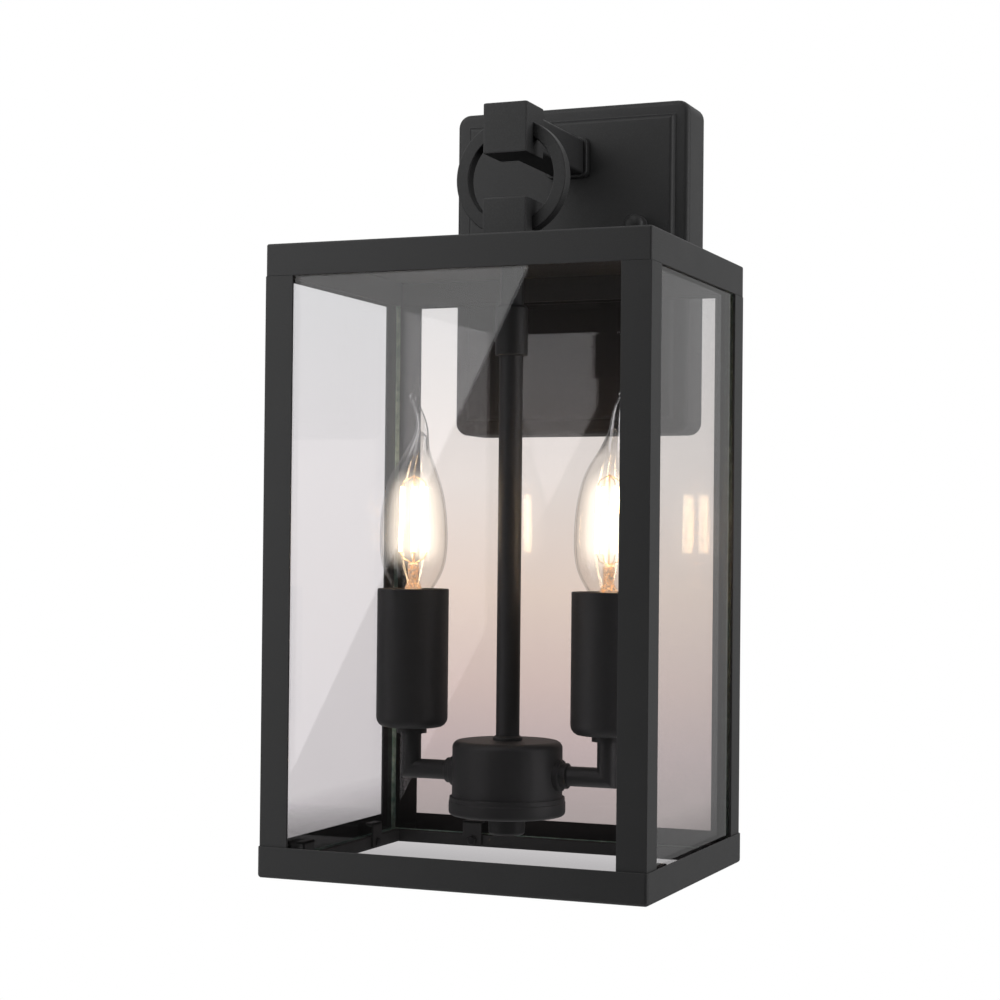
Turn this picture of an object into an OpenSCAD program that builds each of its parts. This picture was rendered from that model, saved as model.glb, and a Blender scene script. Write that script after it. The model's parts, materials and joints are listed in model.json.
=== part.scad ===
/* [Lantern body] */
// Width of the lantern body, across the front
body_w = 200; // [190:1:220]
// Depth of the lantern body, front to back
body_d = 154; // [150:1:170]
// Height of the lantern body, from the bottom of the base to the roof
body_h = 312; // [306:1:330]
// Height of the band round the top of the body
top_band_h = 16; // [14:1:20]
// Height of the band round the bottom of the body
base_band_h = 15.4; // [15.4:0.2:18]
// Leg width of the corner angles
post_leg = 15; // [13:0.5:17]
// Thickness of the body's sheet steel
sheet_t = 1.2; // [1:0.1:1.5]
// Thickness of the glass panes
glass_t = 2.5; // [2:0.1:3]

/* [Wall plate] */
// Width of the wall plate
plate_w = 135; // [126:1:150]
// Height of the wall plate
plate_h = 179; // [170:1:200]
// How far the plate's border stands off the wall
plate_depth = 29; // [27:0.5:32]
// How far the raised panel stands proud of the border
panel_rise = 3; // [2:0.5:4]
// Distance from the wall to the lantern's centre line
reach = 113; // [113:1:125]
// Height of the plate's centre above the lantern's bottom
drop = 315; // [315:1:320]
// Spacing of the two studs that the cap nuts run on
stud_spacing = 80; // [78:1:84]
// Height of the studs and the strap above the plate's centre
stud_z = 22; // [20:1:26]

/* [Hanger] */
// Width of the two square blocks
block_w = 24; // [24:1:26]
// Height of the upper block
upper_block_h = 26; // [25:1:28]
// Height of the lower block
lower_block_h = 28.3; // [27:0.5:30]
// Outer diameter of the ring
ring_od = 60; // [58:1:60]
// Radial width of the ring
ring_band = 6.8; // [6.6:0.1:7]
// Depth of the ring, front to back
ring_depth = 7; // [7:0.1:7.4]
// Width of the arm
arm_w = 20; // [18:0.5:21]
// Height of the arm
arm_h = 18.5; // [18:0.5:20]

/* [Lamp cluster] */
// Distance between the two candle sleeves
lamp_spacing = 107; // [104:1:110]
// Outer diameter of the candle sleeves
sleeve_od = 37; // [36:0.5:38]
// Height of the candle sleeves
sleeve_h = 71.5; // [70:0.5:74]
// Outer diameter of the hub
hub_od = 56; // [54:1:58]
// Outer diameter of the stem
stem_od = 12; // [12:0.5:13]
// Largest diameter of the bulbs
bulb_od = 35; // [34:0.5:35]

/* [Screw threads] */
// Radius of the M10 hollow threads
pipe_r = 4.9; // [4.8:0.05:4.9]
// Radius of the M4 studs
stud_r = 2; // [1.9:0.05:2]
// Radius of the rod that the finial runs on
rod_r = 2.9; // [2.8:0.05:2.9]
// Radius of the bulbs' screw caps
cap_r = 5.95; // [5.8:0.05:5.95]

/* [Hidden] */

$fn = 48;
COAT = [0.07, 0.07, 0.075];
STEEL = [0.72, 0.72, 0.70];
BRASS = [0.80, 0.62, 0.28];
CLEAR = [0.85, 0.93, 0.92, 0.25];
LEFT = -1;
RIGHT = 1;
// A cut is longer than what it cuts by this much at each end
over = 1;
// Radial clearance of a thread or a shaft in its hole
run_gap = 0.05;
// Clearance of a pipe thread in a plain hole
slip_gap = 0.2;

// Wall side, in the frame of the wall plate
plate_t = 1.5;
plate_r = 7;
plate_edge = 3;
border = 9;
gasket_t = 2;
panel_front = plate_depth + panel_rise;
strap_t = 2;
strap_size = [104, 22];
strap_disc_r = 27;
slot_centre = 30;
slot_length = 13;
slot_r = 2.3;
stud_nut_t = 3;
washer_t = 1.2;
cap_nut_len = 9;
stud_len = panel_front + 6.5;
arm_z = 60.5;
arm_wall = 1.5;
arm_plug = 3;
collar_t = 4.5;
pipe_bore = 3.3;

// Lantern, in its own frame: the centre line is X = Y = 0 and the bottom of the base is Z = 0
half_w = body_w / 2;
half_d = body_d / 2;
roof_t = 2;
roof_z = body_h - roof_t;
band_z = body_h - top_band_h;
base_grow = 0.9;
base_wall = 0.85;
ledge_h = 6.4;
ledge_in = 7.5;
lip_x = half_w - ledge_in;
lip_y = half_d - ledge_in;
pane_gap = 0.2;
pane_front = half_d - sheet_t - pane_gap;
pane_side = half_w - sheet_t - pane_gap;
pane_top = roof_z - 6;
channel_t = 1;
clip_w = 11;
clip_t = 1.2;
clip_spread = 48;
clip_spread_side = 40;

// Hanger
ring_r = ring_od / 2;
ring_z = body_h + 39.5;
ring_wall = 1.1;
ring_gap = 0.15;
ring_split = 12;
wire_r = 1;
wire_pitch = 2.3;
upper_block_z = 362.5 - 312 + body_h;
arm_local_z = arm_z + drop;

// Lamp cluster
lamp_x = lamp_spacing / 2;
elbow_r = 5;
elbow_z = 49;
elbow_bore = 3.5;
bushing_x = 33;
hub_r = hub_od / 2;
hub_top = 65.6;
hub_bottom = 31;
hub_wall = 1.5;
cover_bottom = 27.8;
cover_top = 37.3;
cover_r = hub_r + 1.65;
stem_collar_t = 2.4;
seat_top = 70.2;
seat_t = 3;
sleeve_r = sleeve_od / 2;
sleeve_wall = 1.5;
rim_z = seat_top + sleeve_h;
holder_top = rim_z - 5;
coupler_r = 8.25;
coupler_bottom = 261;
coupler_top = 286.5;
coupler_step = 275;
bracket_x = 15;
bracket_t = 1.5;
bracket_w = 10;
nut_r = 8.08;
nut_t = 3.5;
bulb_r = bulb_od / 2;
bulb_wall = 0.8;
cap_top = rim_z - 5.5;
cap_bottom = rim_z - 22.4;
finial_gap = 0.1;

// Radius of the bulb at heights above the sleeve's rim, as shares of its largest radius
BULB_OUTLINE = [
    [-5.5, 0.37], [-3, 0.46], [0, 0.58], [3, 0.69], [6, 0.79], [11, 0.91], [17, 0.98], [24, 1], [31, 0.995],
    [38, 0.97], [45, 0.92], [51, 0.85], [56, 0.77], [60, 0.68], [64, 0.57], [68, 0.44], [72, 0.33], [76, 0.26]
];
// Centre line of each bulb's bent tip: sideways offset, height above the rim, radius
TIP_LEFT = [
    [1.6, 73, 5.3], [3.4, 77.5, 4], [4.1, 82.5, 3], [3.6, 87, 2.5], [1.6, 93, 2], [-1.3, 99.2, 2.1]
];
TIP_RIGHT = [
    [1, 73, 5.3], [2.4, 77.5, 4], [3.1, 82.5, 3], [3.4, 87, 2.5], [4.4, 93, 2], [6.6, 99.2, 2.1]
];

// ---- shared shapes ----

module rounded_rect(w, h, r) {
    union() {
        square([w - 2 * r, h], center = true);
        square([w, h - 2 * r], center = true);
        for (x = [-1, 1], y = [-1, 1])
            translate([x * (w / 2 - r), y * (h / 2 - r)]) circle(r);
    }
}

// A slab parallel to the wall, from y0 forward to y0 - t
module wall_slab(w, h, r, y0, t) {
    translate([0, y0, 0]) rotate([90, 0, 0]) linear_extrude(t) rounded_rect(w, h, r);
}

// A slab with rounded corners whose front edge is rounded too
module soft_slab(w, h, r, t, edge) {
    hull()
        for (x = [-1, 1], y = [-1, 1])
            translate([x * (w / 2 - r), y * (h / 2 - r), 0])
                rotate_extrude($fn = 32)
                    polygon(concat(
                        [[0, 0], [r, 0]],
                        [for (a = [0:15:90]) [r - edge + edge * cos(a), t - edge + edge * sin(a)]],
                        [[0, t]]
                    ));
}

// A box with small rounded edges, centred in X and Y, standing on z = 0
module soft_box(size, r) {
    hull()
        for (x = [-1, 1], y = [-1, 1], z = [r, size[2] - r])
            translate([x * (size[0] / 2 - r), y * (size[1] / 2 - r), z]) sphere(r, $fn = 16);
}

module tube(r, bore, z0, z1) {
    translate([0, 0, z0])
        difference() {
            cylinder(r = r, h = z1 - z0);
            translate([0, 0, -over]) cylinder(r = bore, h = z1 - z0 + 2 * over);
        }
}

module hex_nut(r, bore, t) {
    difference() {
        cylinder(r = r, h = t, $fn = 6);
        translate([0, 0, -over]) cylinder(r = bore, h = t + 2 * over);
    }
}

// A pan-head screw along +Z: the shank runs up from z = 0, the head sits below it
module pan_screw(head_r, head_t, shank_r, length) {
    union() {
        translate([0, 0, -head_t]) cylinder(r1 = head_r * 0.8, r2 = head_r, h = head_t * 0.45);
        translate([0, 0, -head_t * 0.55]) cylinder(r = head_r, h = head_t * 0.55);
        cylinder(r = shank_r, h = length);
    }
}

// An insulated wire along a list of points
module wire(points, r, $fn = 8) {
    union()
        for (i = [0:len(points) - 2]) {
            a = points[i];
            b = points[i + 1];
            d = b - a;
            length = norm(d);
            translate(a)
                rotate([0, acos(d[2] / length), atan2(d[1], d[0])]) cylinder(r = r, h = length);
            if (i > 0) translate(a) sphere(r);
        }
}

module at_lantern() {
    translate([0, -reach, -drop]) children();
}

// ---- wall plate and its fixings ----

module wall_plate() {
    color(COAT)
        difference() {
            union() {
                translate([0, -gasket_t, 0]) rotate([90, 0, 0])
                    soft_slab(plate_w, plate_h, plate_r, plate_depth - gasket_t, plate_edge);
                translate([0, -plate_depth + plate_edge, 0]) rotate([90, 0, 0])
                    soft_slab(plate_w - 2 * border, plate_h - 2 * border, 6, panel_rise + plate_edge, 2.5);
            }
            wall_slab(plate_w - 2 * plate_t, plate_h - 2 * plate_t, plate_r - plate_t,
                over, plate_depth - plate_t + over);
            wall_slab(plate_w - 2 * border - 2 * plate_t, plate_h - 2 * border - 2 * plate_t, 4,
                0, panel_front - plate_t);
            for (x = [-1, 1])
                translate([x * stud_spacing / 2, 0, stud_z]) rotate([90, 0, 0])
                    cylinder(r = stud_r + 0.3, h = panel_front + over);
            translate([0, 0, arm_z]) rotate([90, 0, 0]) cylinder(r = pipe_r + slip_gap, h = panel_front + over);
        }
}

module wall_gasket() {
    color("dimgray")
        difference() {
            wall_slab(plate_w - 2, plate_h - 2, plate_r - 1, 0, gasket_t);
            wall_slab(plate_w - 12, plate_h - 12, plate_r - 2, over, gasket_t + 2 * over);
        }
}

module mounting_strap() {
    color(STEEL)
        translate([0, 0, stud_z])
            difference() {
                union() {
                    wall_slab(strap_size[0], strap_size[1], 4, 0, strap_t);
                    rotate([90, 0, 0]) cylinder(r = strap_disc_r, h = strap_t);
                }
                for (x = [-1, 1]) {
                    translate([x * slot_centre, over, 0]) rotate([90, 0, 0])
                        linear_extrude(strap_t + 2 * over) slot(slot_length, slot_r);
                    translate([x * stud_spacing / 2, over, 0]) rotate([90, 0, 0])
                        cylinder(r = stud_r + run_gap, h = strap_t + 2 * over);
                }
                translate([0, over, 0]) rotate([90, 0, 0]) cylinder(r = 1.95, h = strap_t + 2 * over);
            }
}

module slot(length, r) {
    union() {
        square([length - 2 * r, 2 * r], center = true);
        for (x = [-1, 1]) translate([x * (length / 2 - r), 0]) circle(r);
    }
}

module strap_studs() {
    color(STEEL)
        for (x = [-1, 1])
            translate([x * stud_spacing / 2, 0, stud_z]) rotate([90, 0, 0]) cylinder(r = stud_r, h = stud_len);
}

module stud_lock_nuts() {
    color(STEEL)
        for (x = [-1, 1])
            translate([x * stud_spacing / 2, -strap_t, stud_z]) rotate([90, 0, 0])
                hex_nut(4.2, stud_r + run_gap, stud_nut_t);
}

module ground_screw() {
    color("seagreen")
        translate([0, 0, stud_z]) rotate([90, 0, 0])
            union() {
                cylinder(r = 1.9, h = strap_t);
                translate([0, 0, strap_t]) cylinder(r = 4.8, h = 0.8);
                translate([0, 0, strap_t + 0.8]) cylinder(r = 4, h = 2.6, $fn = 6);
            }
}

module cap_washer(side) {
    color("dimgray")
        translate([side * stud_spacing / 2, -panel_front, stud_z]) rotate([90, 0, 0])
            tube(5.5, stud_r + 0.3, 0, washer_t);
}

module cap_nut(side) {
    dome = 3.2;
    color(COAT)
        translate([side * stud_spacing / 2, -panel_front - washer_t, stud_z]) rotate([90, 0, 0])
            difference() {
                rotate_extrude()
                    polygon(concat(
                        [[0, 0], [5, 0], [5.4, 0.5], [5.4, cap_nut_len - dome]],
                        [for (a = [15:15:75]) [5.4 * cos(a), cap_nut_len - dome + dome * sin(a)]],
                        [[0, cap_nut_len]]
                    ));
                translate([0, 0, -over]) cylinder(r = stud_r + run_gap, h = 6.3 + over);
            }
}

// ---- arm, ring and blocks ----

arm_back = -panel_front;
arm_front = -(reach - block_w / 2);
arm_len = arm_back - arm_front;

module arm() {
    color(COAT)
        translate([0, 0, arm_z])
            difference() {
                wall_slab(arm_w, arm_h, 1.5, arm_back, arm_len);
                wall_slab(arm_w - 2 * arm_wall, arm_h - 2 * arm_wall, 0.8,
                    arm_back - arm_plug, arm_len - arm_plug + over);
                translate([0, arm_back + over, 0]) rotate([90, 0, 0])
                    cylinder(r = pipe_r + run_gap, h = arm_plug + 2 * over);
            }
}

module arm_collar() {
    color(COAT)
        translate([0, arm_back, arm_z])
            difference() {
                rotate([90, 0, 0]) soft_slab(arm_w + 4, arm_h + 4, 4, collar_t, 1.5);
                wall_slab(arm_w + 0.1, arm_h + 0.1, 1.5, over, collar_t + 2 * over);
            }
}

module arm_nipple() {
    color(STEEL)
        translate([0, arm_back + plate_t + 8, arm_z]) rotate([90, 0, 0]) tube(pipe_r, pipe_bore, 0, 17);
}

module arm_lock_nut() {
    color(STEEL)
        translate([0, arm_back + plate_t + 4, arm_z]) rotate([90, 0, 0]) hex_nut(nut_r, pipe_r + run_gap, 4);
}

// The ring's hollow band, grown by gap, about its own centre
module ring_band_shape(gap) {
    rotate([90, 0, 0])
        rotate_extrude()
            translate([ring_r - ring_band / 2, 0])
                square([ring_band + 2 * gap, ring_depth + 2 * gap], center = true);
}

module upper_block() {
    color(COAT)
        at_lantern()
            difference() {
                translate([0, 0, upper_block_z]) soft_box([block_w, block_w, upper_block_h], 1);
                translate([0, 0, ring_z]) ring_band_shape(ring_gap);
                translate([0, 0, ring_z + ring_r - ring_band / 2]) rotate([-90, 0, 0])
                    cylinder(r = 3, h = block_w);
            }
}

// A hollow band bent round to a ring. Its ends stop short of each other inside the lower block, and the leads
// leave through the gap.
module ring() {
    color(COAT)
        at_lantern()
            translate([0, 0, ring_z])
                difference() {
                    rotate([90, 0, 0]) rotate([0, 0, ring_split / 2 - 90])
                        rotate_extrude(angle = 360 - ring_split)
                            translate([ring_r - ring_band / 2, 0])
                                difference() {
                                    square([ring_band, ring_depth], center = true);
                                    square([ring_band - 2 * ring_wall, ring_depth - 2 * ring_wall], center = true);
                                }
                    translate([0, 0, ring_r - ring_band / 2]) rotate([-90, 0, 0])
                        cylinder(r = 2.3, h = ring_depth);
                }
}

module lower_block() {
    color(COAT)
        at_lantern()
            difference() {
                translate([0, 0, body_h]) soft_box([block_w, block_w, lower_block_h], 1);
                translate([0, 0, ring_z]) ring_band_shape(ring_gap);
                translate([0, 0, body_h - over]) cylinder(r = pipe_r + run_gap, h = 8.5);
                translate([0, 0, body_h]) cylinder(r = 3, h = 12);
            }
}

// ---- lantern body ----

module top_cap() {
    chamfer = 0.8;
    color(COAT)
        at_lantern()
            difference() {
                union() {
                    translate([0, 0, band_z]) linear_extrude(top_band_h - chamfer)
                        rounded_rect(body_w, body_d, 1.2);
                    hull() {
                        translate([0, 0, body_h - chamfer]) linear_extrude(0.01)
                            rounded_rect(body_w, body_d, 1.2, $fn = 32);
                        translate([0, 0, body_h - 0.01]) linear_extrude(0.01)
                            rounded_rect(body_w - 2 * chamfer, body_d - 2 * chamfer, 0.6, $fn = 32);
                    }
                }
                translate([0, 0, band_z - over]) linear_extrude(roof_z - band_z + over)
                    square([body_w - 2 * sheet_t, body_d - 2 * sheet_t], center = true);
                translate([0, 0, roof_z - over]) cylinder(r = pipe_r + slip_gap, h = roof_t + 2 * over);
            }
}

// One corner angle; sx and sy say which corner
module post(sx, sy) {
    color(COAT)
        at_lantern()
            translate([0, 0, ledge_h]) linear_extrude(band_z - ledge_h)
                scale([sx, sy])
                    difference() {
                        translate([half_w - post_leg, half_d - post_leg]) square([post_leg, post_leg]);
                        translate([half_w - post_leg - over, half_d - post_leg - over])
                            square([post_leg + over - sheet_t, post_leg + over - sheet_t]);
                    }
}

module base_frame() {
    w = body_w + 2 * base_grow;
    d = body_d + 2 * base_grow;
    edge = 1.6;
    color(COAT)
        at_lantern()
            difference() {
                union() {
                    hull() {
                        linear_extrude(0.01) rounded_rect(w - 2 * edge, d - 2 * edge, 1, $fn = 32);
                        translate([0, 0, edge * 0.35]) linear_extrude(0.01)
                            rounded_rect(w - edge * 0.7, d - edge * 0.7, 1.6, $fn = 32);
                        translate([0, 0, edge]) linear_extrude(0.01) rounded_rect(w, d, 2, $fn = 32);
                    }
                    translate([0, 0, edge]) linear_extrude(base_band_h - edge) rounded_rect(w, d, 2);
                }
                translate([0, 0, ledge_h]) linear_extrude(base_band_h)
                    square([w - 2 * base_wall, d - 2 * base_wall], center = true);
                translate([0, 0, -over]) linear_extrude(ledge_h + 2 * over)
                    square([2 * lip_x, 2 * lip_y], center = true);
                clip_places() translate([0, 0, -over]) cylinder(r = 1.25 + run_gap, h = 5 + over);
            }
}

module pane(w, x, y, turn) {
    color(CLEAR)
        at_lantern()
            translate([x, y, ledge_h]) rotate([0, 0, turn])
                translate([-w / 2, -glass_t / 2, 0]) cube([w, glass_t, pane_top - ledge_h]);
}

pane_w_front = 2 * (pane_side + pane_gap) - 0.2;
pane_w_side = 2 * (pane_front - glass_t - pane_gap);

module glass_channel() {
    w = 2 * (pane_side - glass_t - 0.3);
    d = 2 * (pane_front - glass_t - 0.3);
    color(COAT)
        at_lantern()
            translate([0, 0, band_z + 1]) linear_extrude(roof_z - band_z - 1)
                difference() {
                    square([w, d], center = true);
                    square([w - 2 * channel_t, d - 2 * channel_t], center = true);
                }
}

// Puts a child at each clip's screw, with +Z pointing outwards through the base frame's inner lip
module clip_places() {
    screw_z = 3.4;
    for (x = [-1, 1], s = [-1, 1])
        translate([x * clip_spread, s * lip_y, screw_z]) rotate([-90 * s, 0, 0]) children();
    for (y = [-1, 1], s = [-1, 1])
        translate([s * lip_x, y * clip_spread_side, screw_z]) rotate([0, 90 * s, 0]) children();
}

// A clip against the lip of one side, at u along it. Its top bends out to the pane.
module clip(u, lip, pane_in, turn) {
    reach_out = pane_in - lip - 0.05;
    rotate([0, 0, turn])
        difference() {
            translate([u - clip_w / 2, 0, 0])
                union() {
                    translate([0, lip - clip_t, 1]) cube([clip_w, clip_t, 13]);
                    translate([0, lip - clip_t, 12.6]) cube([clip_w, clip_t + reach_out, 1.4]);
                }
            translate([u, lip + over, 3.4]) rotate([90, 0, 0]) cylinder(r = 1.25 + run_gap, h = clip_t + 2 * over);
        }
}

module glass_clips() {
    color(COAT)
        at_lantern() {
            for (x = [-1, 1], turn = [0, 180])
                clip(x * clip_spread, lip_y, pane_front - glass_t, turn);
            for (y = [-1, 1], turn = [90, 270])
                clip(y * clip_spread_side, lip_x, pane_side - glass_t, turn);
        }
}

module clip_screws() {
    color(STEEL)
        at_lantern()
            clip_places() translate([0, 0, -clip_t]) pan_screw(2.5, 1.6, 1.25, 5);
}

// ---- stem ----

module roof_nipple() {
    color(STEEL) at_lantern() tube(pipe_r, pipe_bore, body_h - 12, body_h + 7);
}

module upper_stem() {
    neck = coupler_top;
    color(COAT)
        at_lantern()
            difference() {
                union() {
                    translate([0, 0, coupler_step]) cylinder(r = pipe_r, h = neck - coupler_step + 1);
                    translate([0, 0, neck]) cylinder(r = stem_od / 2, h = roof_z - neck);
                }
                translate([0, 0, coupler_step - over]) cylinder(r = pipe_bore, h = 40);
                translate([0, 0, body_h - 12.5]) cylinder(r = pipe_r + run_gap, h = 20);
            }
}

module coupler() {
    shoulder = 1.5;
    color(COAT)
        at_lantern()
            rotate_extrude()
                polygon([
                    [stem_od / 2 + run_gap, coupler_bottom],
                    [coupler_r - 0.6, coupler_bottom],
                    [coupler_r, coupler_bottom + 0.6],
                    [coupler_r, coupler_top - shoulder],
                    [coupler_r - shoulder, coupler_top],
                    [pipe_r + run_gap, coupler_top],
                    [pipe_r + run_gap, coupler_step],
                    [stem_od / 2 + run_gap, coupler_step]
                ]);
}

module stem() {
    foot = hub_top + stem_collar_t;
    color(COAT)
        at_lantern()
            difference() {
                union() {
                    translate([0, 0, foot]) cylinder(r = stem_od / 2, h = coupler_step - foot);
                    translate([0, 0, hub_top - 9]) cylinder(r = pipe_r, h = foot - hub_top + 10);
                }
                translate([0, 0, hub_top - 10]) cylinder(r = elbow_bore, h = 300);
            }
}

module stem_collar() {
    color(COAT)
        at_lantern()
            rotate_extrude()
                polygon([
                    [pipe_r + run_gap, hub_top],
                    [7.5, hub_top],
                    [7.5, hub_top + 1.2],
                    [6.6, hub_top + stem_collar_t],
                    [pipe_r + run_gap, hub_top + stem_collar_t]
                ]);
}

// ---- hub ----

module hub_body() {
    crown = 3;
    top = hub_top - hub_wall;
    color(COAT)
        at_lantern()
            difference() {
                rotate_extrude()
                    polygon(concat(
                        [[0, hub_bottom], [hub_r, hub_bottom]],
                        [for (a = [0:15:90])
                            [hub_r - crown + crown * cos(a), hub_top - crown + crown * sin(a)]],
                        [[0, hub_top]]
                    ));
                translate([0, 0, hub_bottom - over])
                    cylinder(r = hub_r - hub_wall, h = top - 1.5 - hub_bottom + over);
                translate([0, 0, top - 1.5]) cylinder(r1 = hub_r - hub_wall, r2 = hub_r - hub_wall - 1.5, h = 1.5);
                translate([0, 0, top - over]) cylinder(r = pipe_r + slip_gap, h = 2 * hub_wall + 2 * over);
                translate([-hub_r - over, 0, elbow_z]) rotate([0, 90, 0])
                    cylinder(r = pipe_r + slip_gap, h = 2 * hub_r + 2 * over);
            }
}

// A closed strap hung from the stem's nut; its foot carries the finial's rod
module hub_bracket() {
    top = hub_top - hub_wall;
    foot = hub_bottom;
    color(STEEL)
        at_lantern()
            difference() {
                union() {
                    difference() {
                        translate([-bracket_x, -bracket_w / 2, foot])
                            cube([2 * bracket_x, bracket_w, top - foot]);
                        translate([-bracket_x + bracket_t, -bracket_w, foot + bracket_t])
                            cube([2 * (bracket_x - bracket_t), 2 * bracket_w, top - foot - 2 * bracket_t]);
                    }
                    translate([0, 0, 20]) cylinder(r = rod_r, h = foot - 19);
                }
                translate([0, 0, top - 2 * bracket_t]) cylinder(r = pipe_r + run_gap, h = 3 * bracket_t);
            }
}

module hub_lock_nuts() {
    top = hub_top - hub_wall - bracket_t;
    color(STEEL)
        at_lantern() {
            translate([0, 0, top - 4]) hex_nut(nut_r, pipe_r + run_gap, 4);
            for (side = [-1, 1])
                translate([side * 23.1, 0, elbow_z]) rotate([0, 90, 0])
                    translate([0, 0, -nut_t / 2]) hex_nut(nut_r, pipe_r + run_gap, nut_t);
        }
}

module hub_cover() {
    edge = 2;
    color(COAT)
        at_lantern()
            difference() {
                rotate_extrude()
                    polygon(concat(
                        [[0, cover_bottom]],
                        [for (a = [-90:15:0])
                            [cover_r - edge + edge * cos(a), cover_bottom + edge + edge * sin(a)]],
                        [[cover_r, cover_top - 0.5], [cover_r - 0.5, cover_top], [0, cover_top]]
                    ));
                translate([0, 0, cover_bottom + hub_wall]) cylinder(r = hub_r + 0.15, h = cover_top);
                translate([0, 0, cover_bottom - over]) cylinder(r = rod_r + slip_gap, h = 2 * hub_wall + over);
            }
}

module finial() {
    top = cover_bottom - finial_gap;
    bottom = 18;
    color(COAT)
        at_lantern()
            difference() {
                rotate_extrude()
                    polygon([
                        [0, bottom], [8.2, bottom], [9.2, bottom + 1], [9.4, top - 2.2],
                        [8.6, top - 1.4], [7.6, top - 1.4], [7.6, top], [0, top]
                    ]);
                translate([0, 0, bottom + 1.6]) cylinder(r = rod_r + run_gap, h = 20);
            }
}

module hub_bushing(side) {
    scale([side, 1, 1])
        difference() {
            translate([0, 0, elbow_z]) rotate([0, 90, 0])
                union() {
                    translate([0, 0, hub_r - 1.5]) cylinder(r = 8, h = 3.5);
                    translate([0, 0, hub_r]) cylinder(r = 6.5, h = bushing_x - hub_r);
                }
            translate([0, 0, elbow_z - 20]) cylinder(r = hub_r, h = 40);
            translate([0, 0, elbow_z]) rotate([0, 90, 0]) cylinder(r = pipe_r + run_gap, h = 60);
        }
}

module hub_bushings() {
    color(COAT)
        at_lantern() {
            hub_bushing(LEFT);
            hub_bushing(RIGHT);
        }
}

// ---- elbow arms, sleeves and lampholders ----

// A mitred right angle of round bar, radius r, from x0 to the lamp's axis and up to z1
module mitred(r, x0, z1) {
    reach_r = r + over;
    intersection() {
        translate([x0, 0, elbow_z]) rotate([0, 90, 0]) cylinder(r = r, h = lamp_x + reach_r - x0);
        translate([lamp_x, 0, elbow_z]) rotate([0, -45, 0]) translate([-100, -50, -50]) cube([100, 100, 100]);
    }
    intersection() {
        translate([lamp_x, 0, elbow_z - reach_r]) cylinder(r = r, h = z1 - elbow_z + reach_r);
        translate([lamp_x, 0, elbow_z]) rotate([0, -45, 0]) translate([0, -50, -50]) cube([100, 100, 100]);
    }
}

module elbow(side) {
    seat = seat_top - seat_t;
    color(COAT)
        at_lantern()
            scale([side, 1, 1])
                difference() {
                    union() {
                        mitred(elbow_r, bushing_x, seat);
                        translate([20.6, 0, elbow_z]) rotate([0, 90, 0])
                            cylinder(r = pipe_r, h = bushing_x - 20.6 + over);
                        translate([lamp_x, 0, seat - over]) cylinder(r = pipe_r, h = seat_top + 9.5 - seat + over);
                    }
                    mitred(elbow_bore, 19, seat_top + 12);
                }
}

module seat_collars() {
    color(COAT)
        at_lantern()
            for (side = [-1, 1])
                translate([side * lamp_x, 0, 0]) tube(7.75, pipe_r + run_gap, seat_top - seat_t, seat_top);
}

module cup_profile(r, z0, z1, corner) {
    union() {
        translate([0, z0 + corner]) square([r, z1 - z0 - corner]);
        translate([0, z0]) square([r - corner, corner + 1]);
        intersection() {
            translate([r - corner, z0 + corner]) circle(corner);
            translate([0, z0]) square([r, 2 * corner]);
        }
    }
}

module sleeve(side) {
    corner = 5;
    floor_t = 2;
    color(COAT)
        at_lantern()
            translate([side * lamp_x, 0, 0])
                difference() {
                    rotate_extrude() cup_profile(sleeve_r, seat_top, rim_z, corner);
                    rotate_extrude()
                        cup_profile(sleeve_r - sleeve_wall, seat_top + floor_t, rim_z + over, corner - sleeve_wall);
                    translate([0, 0, seat_top - over]) cylinder(r = pipe_r + run_gap, h = floor_t + 2 * over);
                }
}

module lampholder(side) {
    foot = seat_top + 2;
    cup = holder_top - 27;
    color("ivory")
        at_lantern()
            translate([side * lamp_x, 0, 0])
                difference() {
                    union() {
                        translate([0, 0, foot]) cylinder(r = 7.5, h = cup - foot + 1);
                        translate([0, 0, cup]) cylinder(r = 10.5, h = holder_top - cup);
                    }
                    translate([0, 0, foot - over]) cylinder(r = pipe_r + run_gap, h = 8 + over);
                    translate([0, 0, foot]) cylinder(r = pipe_bore, h = cup - foot);
                    translate([0, 0, cup + 5]) cylinder(r = 6.9, h = holder_top);
                }
}

// The threaded brass shell of each lampholder, and the spring tongue under the bulb
module socket_shells() {
    floor_z = holder_top - 22;
    color(BRASS)
        at_lantern()
            for (side = [-1, 1])
                translate([side * lamp_x, 0, 0]) {
                    tube(6.8, cap_r + 0.25, floor_z + 3.5, holder_top - 1);
                    translate([0, 0, floor_z]) cylinder(r = 3, h = 0.6);
                }
}

// ---- bulbs ----

function bulb_point(p, grow) = [p[1] * bulb_r + grow, rim_z + p[0]];

module bulb_glass(side) {
    outer = [for (p = BULB_OUTLINE) bulb_point(p, 0)];
    inner = [for (i = [len(BULB_OUTLINE) - 2:-1:0]) bulb_point(BULB_OUTLINE[i], -bulb_wall)];
    last = outer[len(outer) - 1];
    tip = side < 0 ? TIP_LEFT : TIP_RIGHT;
    color(CLEAR)
        at_lantern()
            translate([side * lamp_x, 0, 0])
                union() {
                    rotate_extrude() polygon(concat(outer, [[0, last[1]], [0, last[1] - 2.2]], inner));
                    for (i = [0:len(tip) - 2])
                        hull() {
                            tip_ball(tip[i]);
                            tip_ball(tip[i + 1]);
                        }
                }
}

module tip_ball(p) {
    translate([p[0], 0, rim_z + p[1]]) sphere(p[2], $fn = 16);
}

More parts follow.
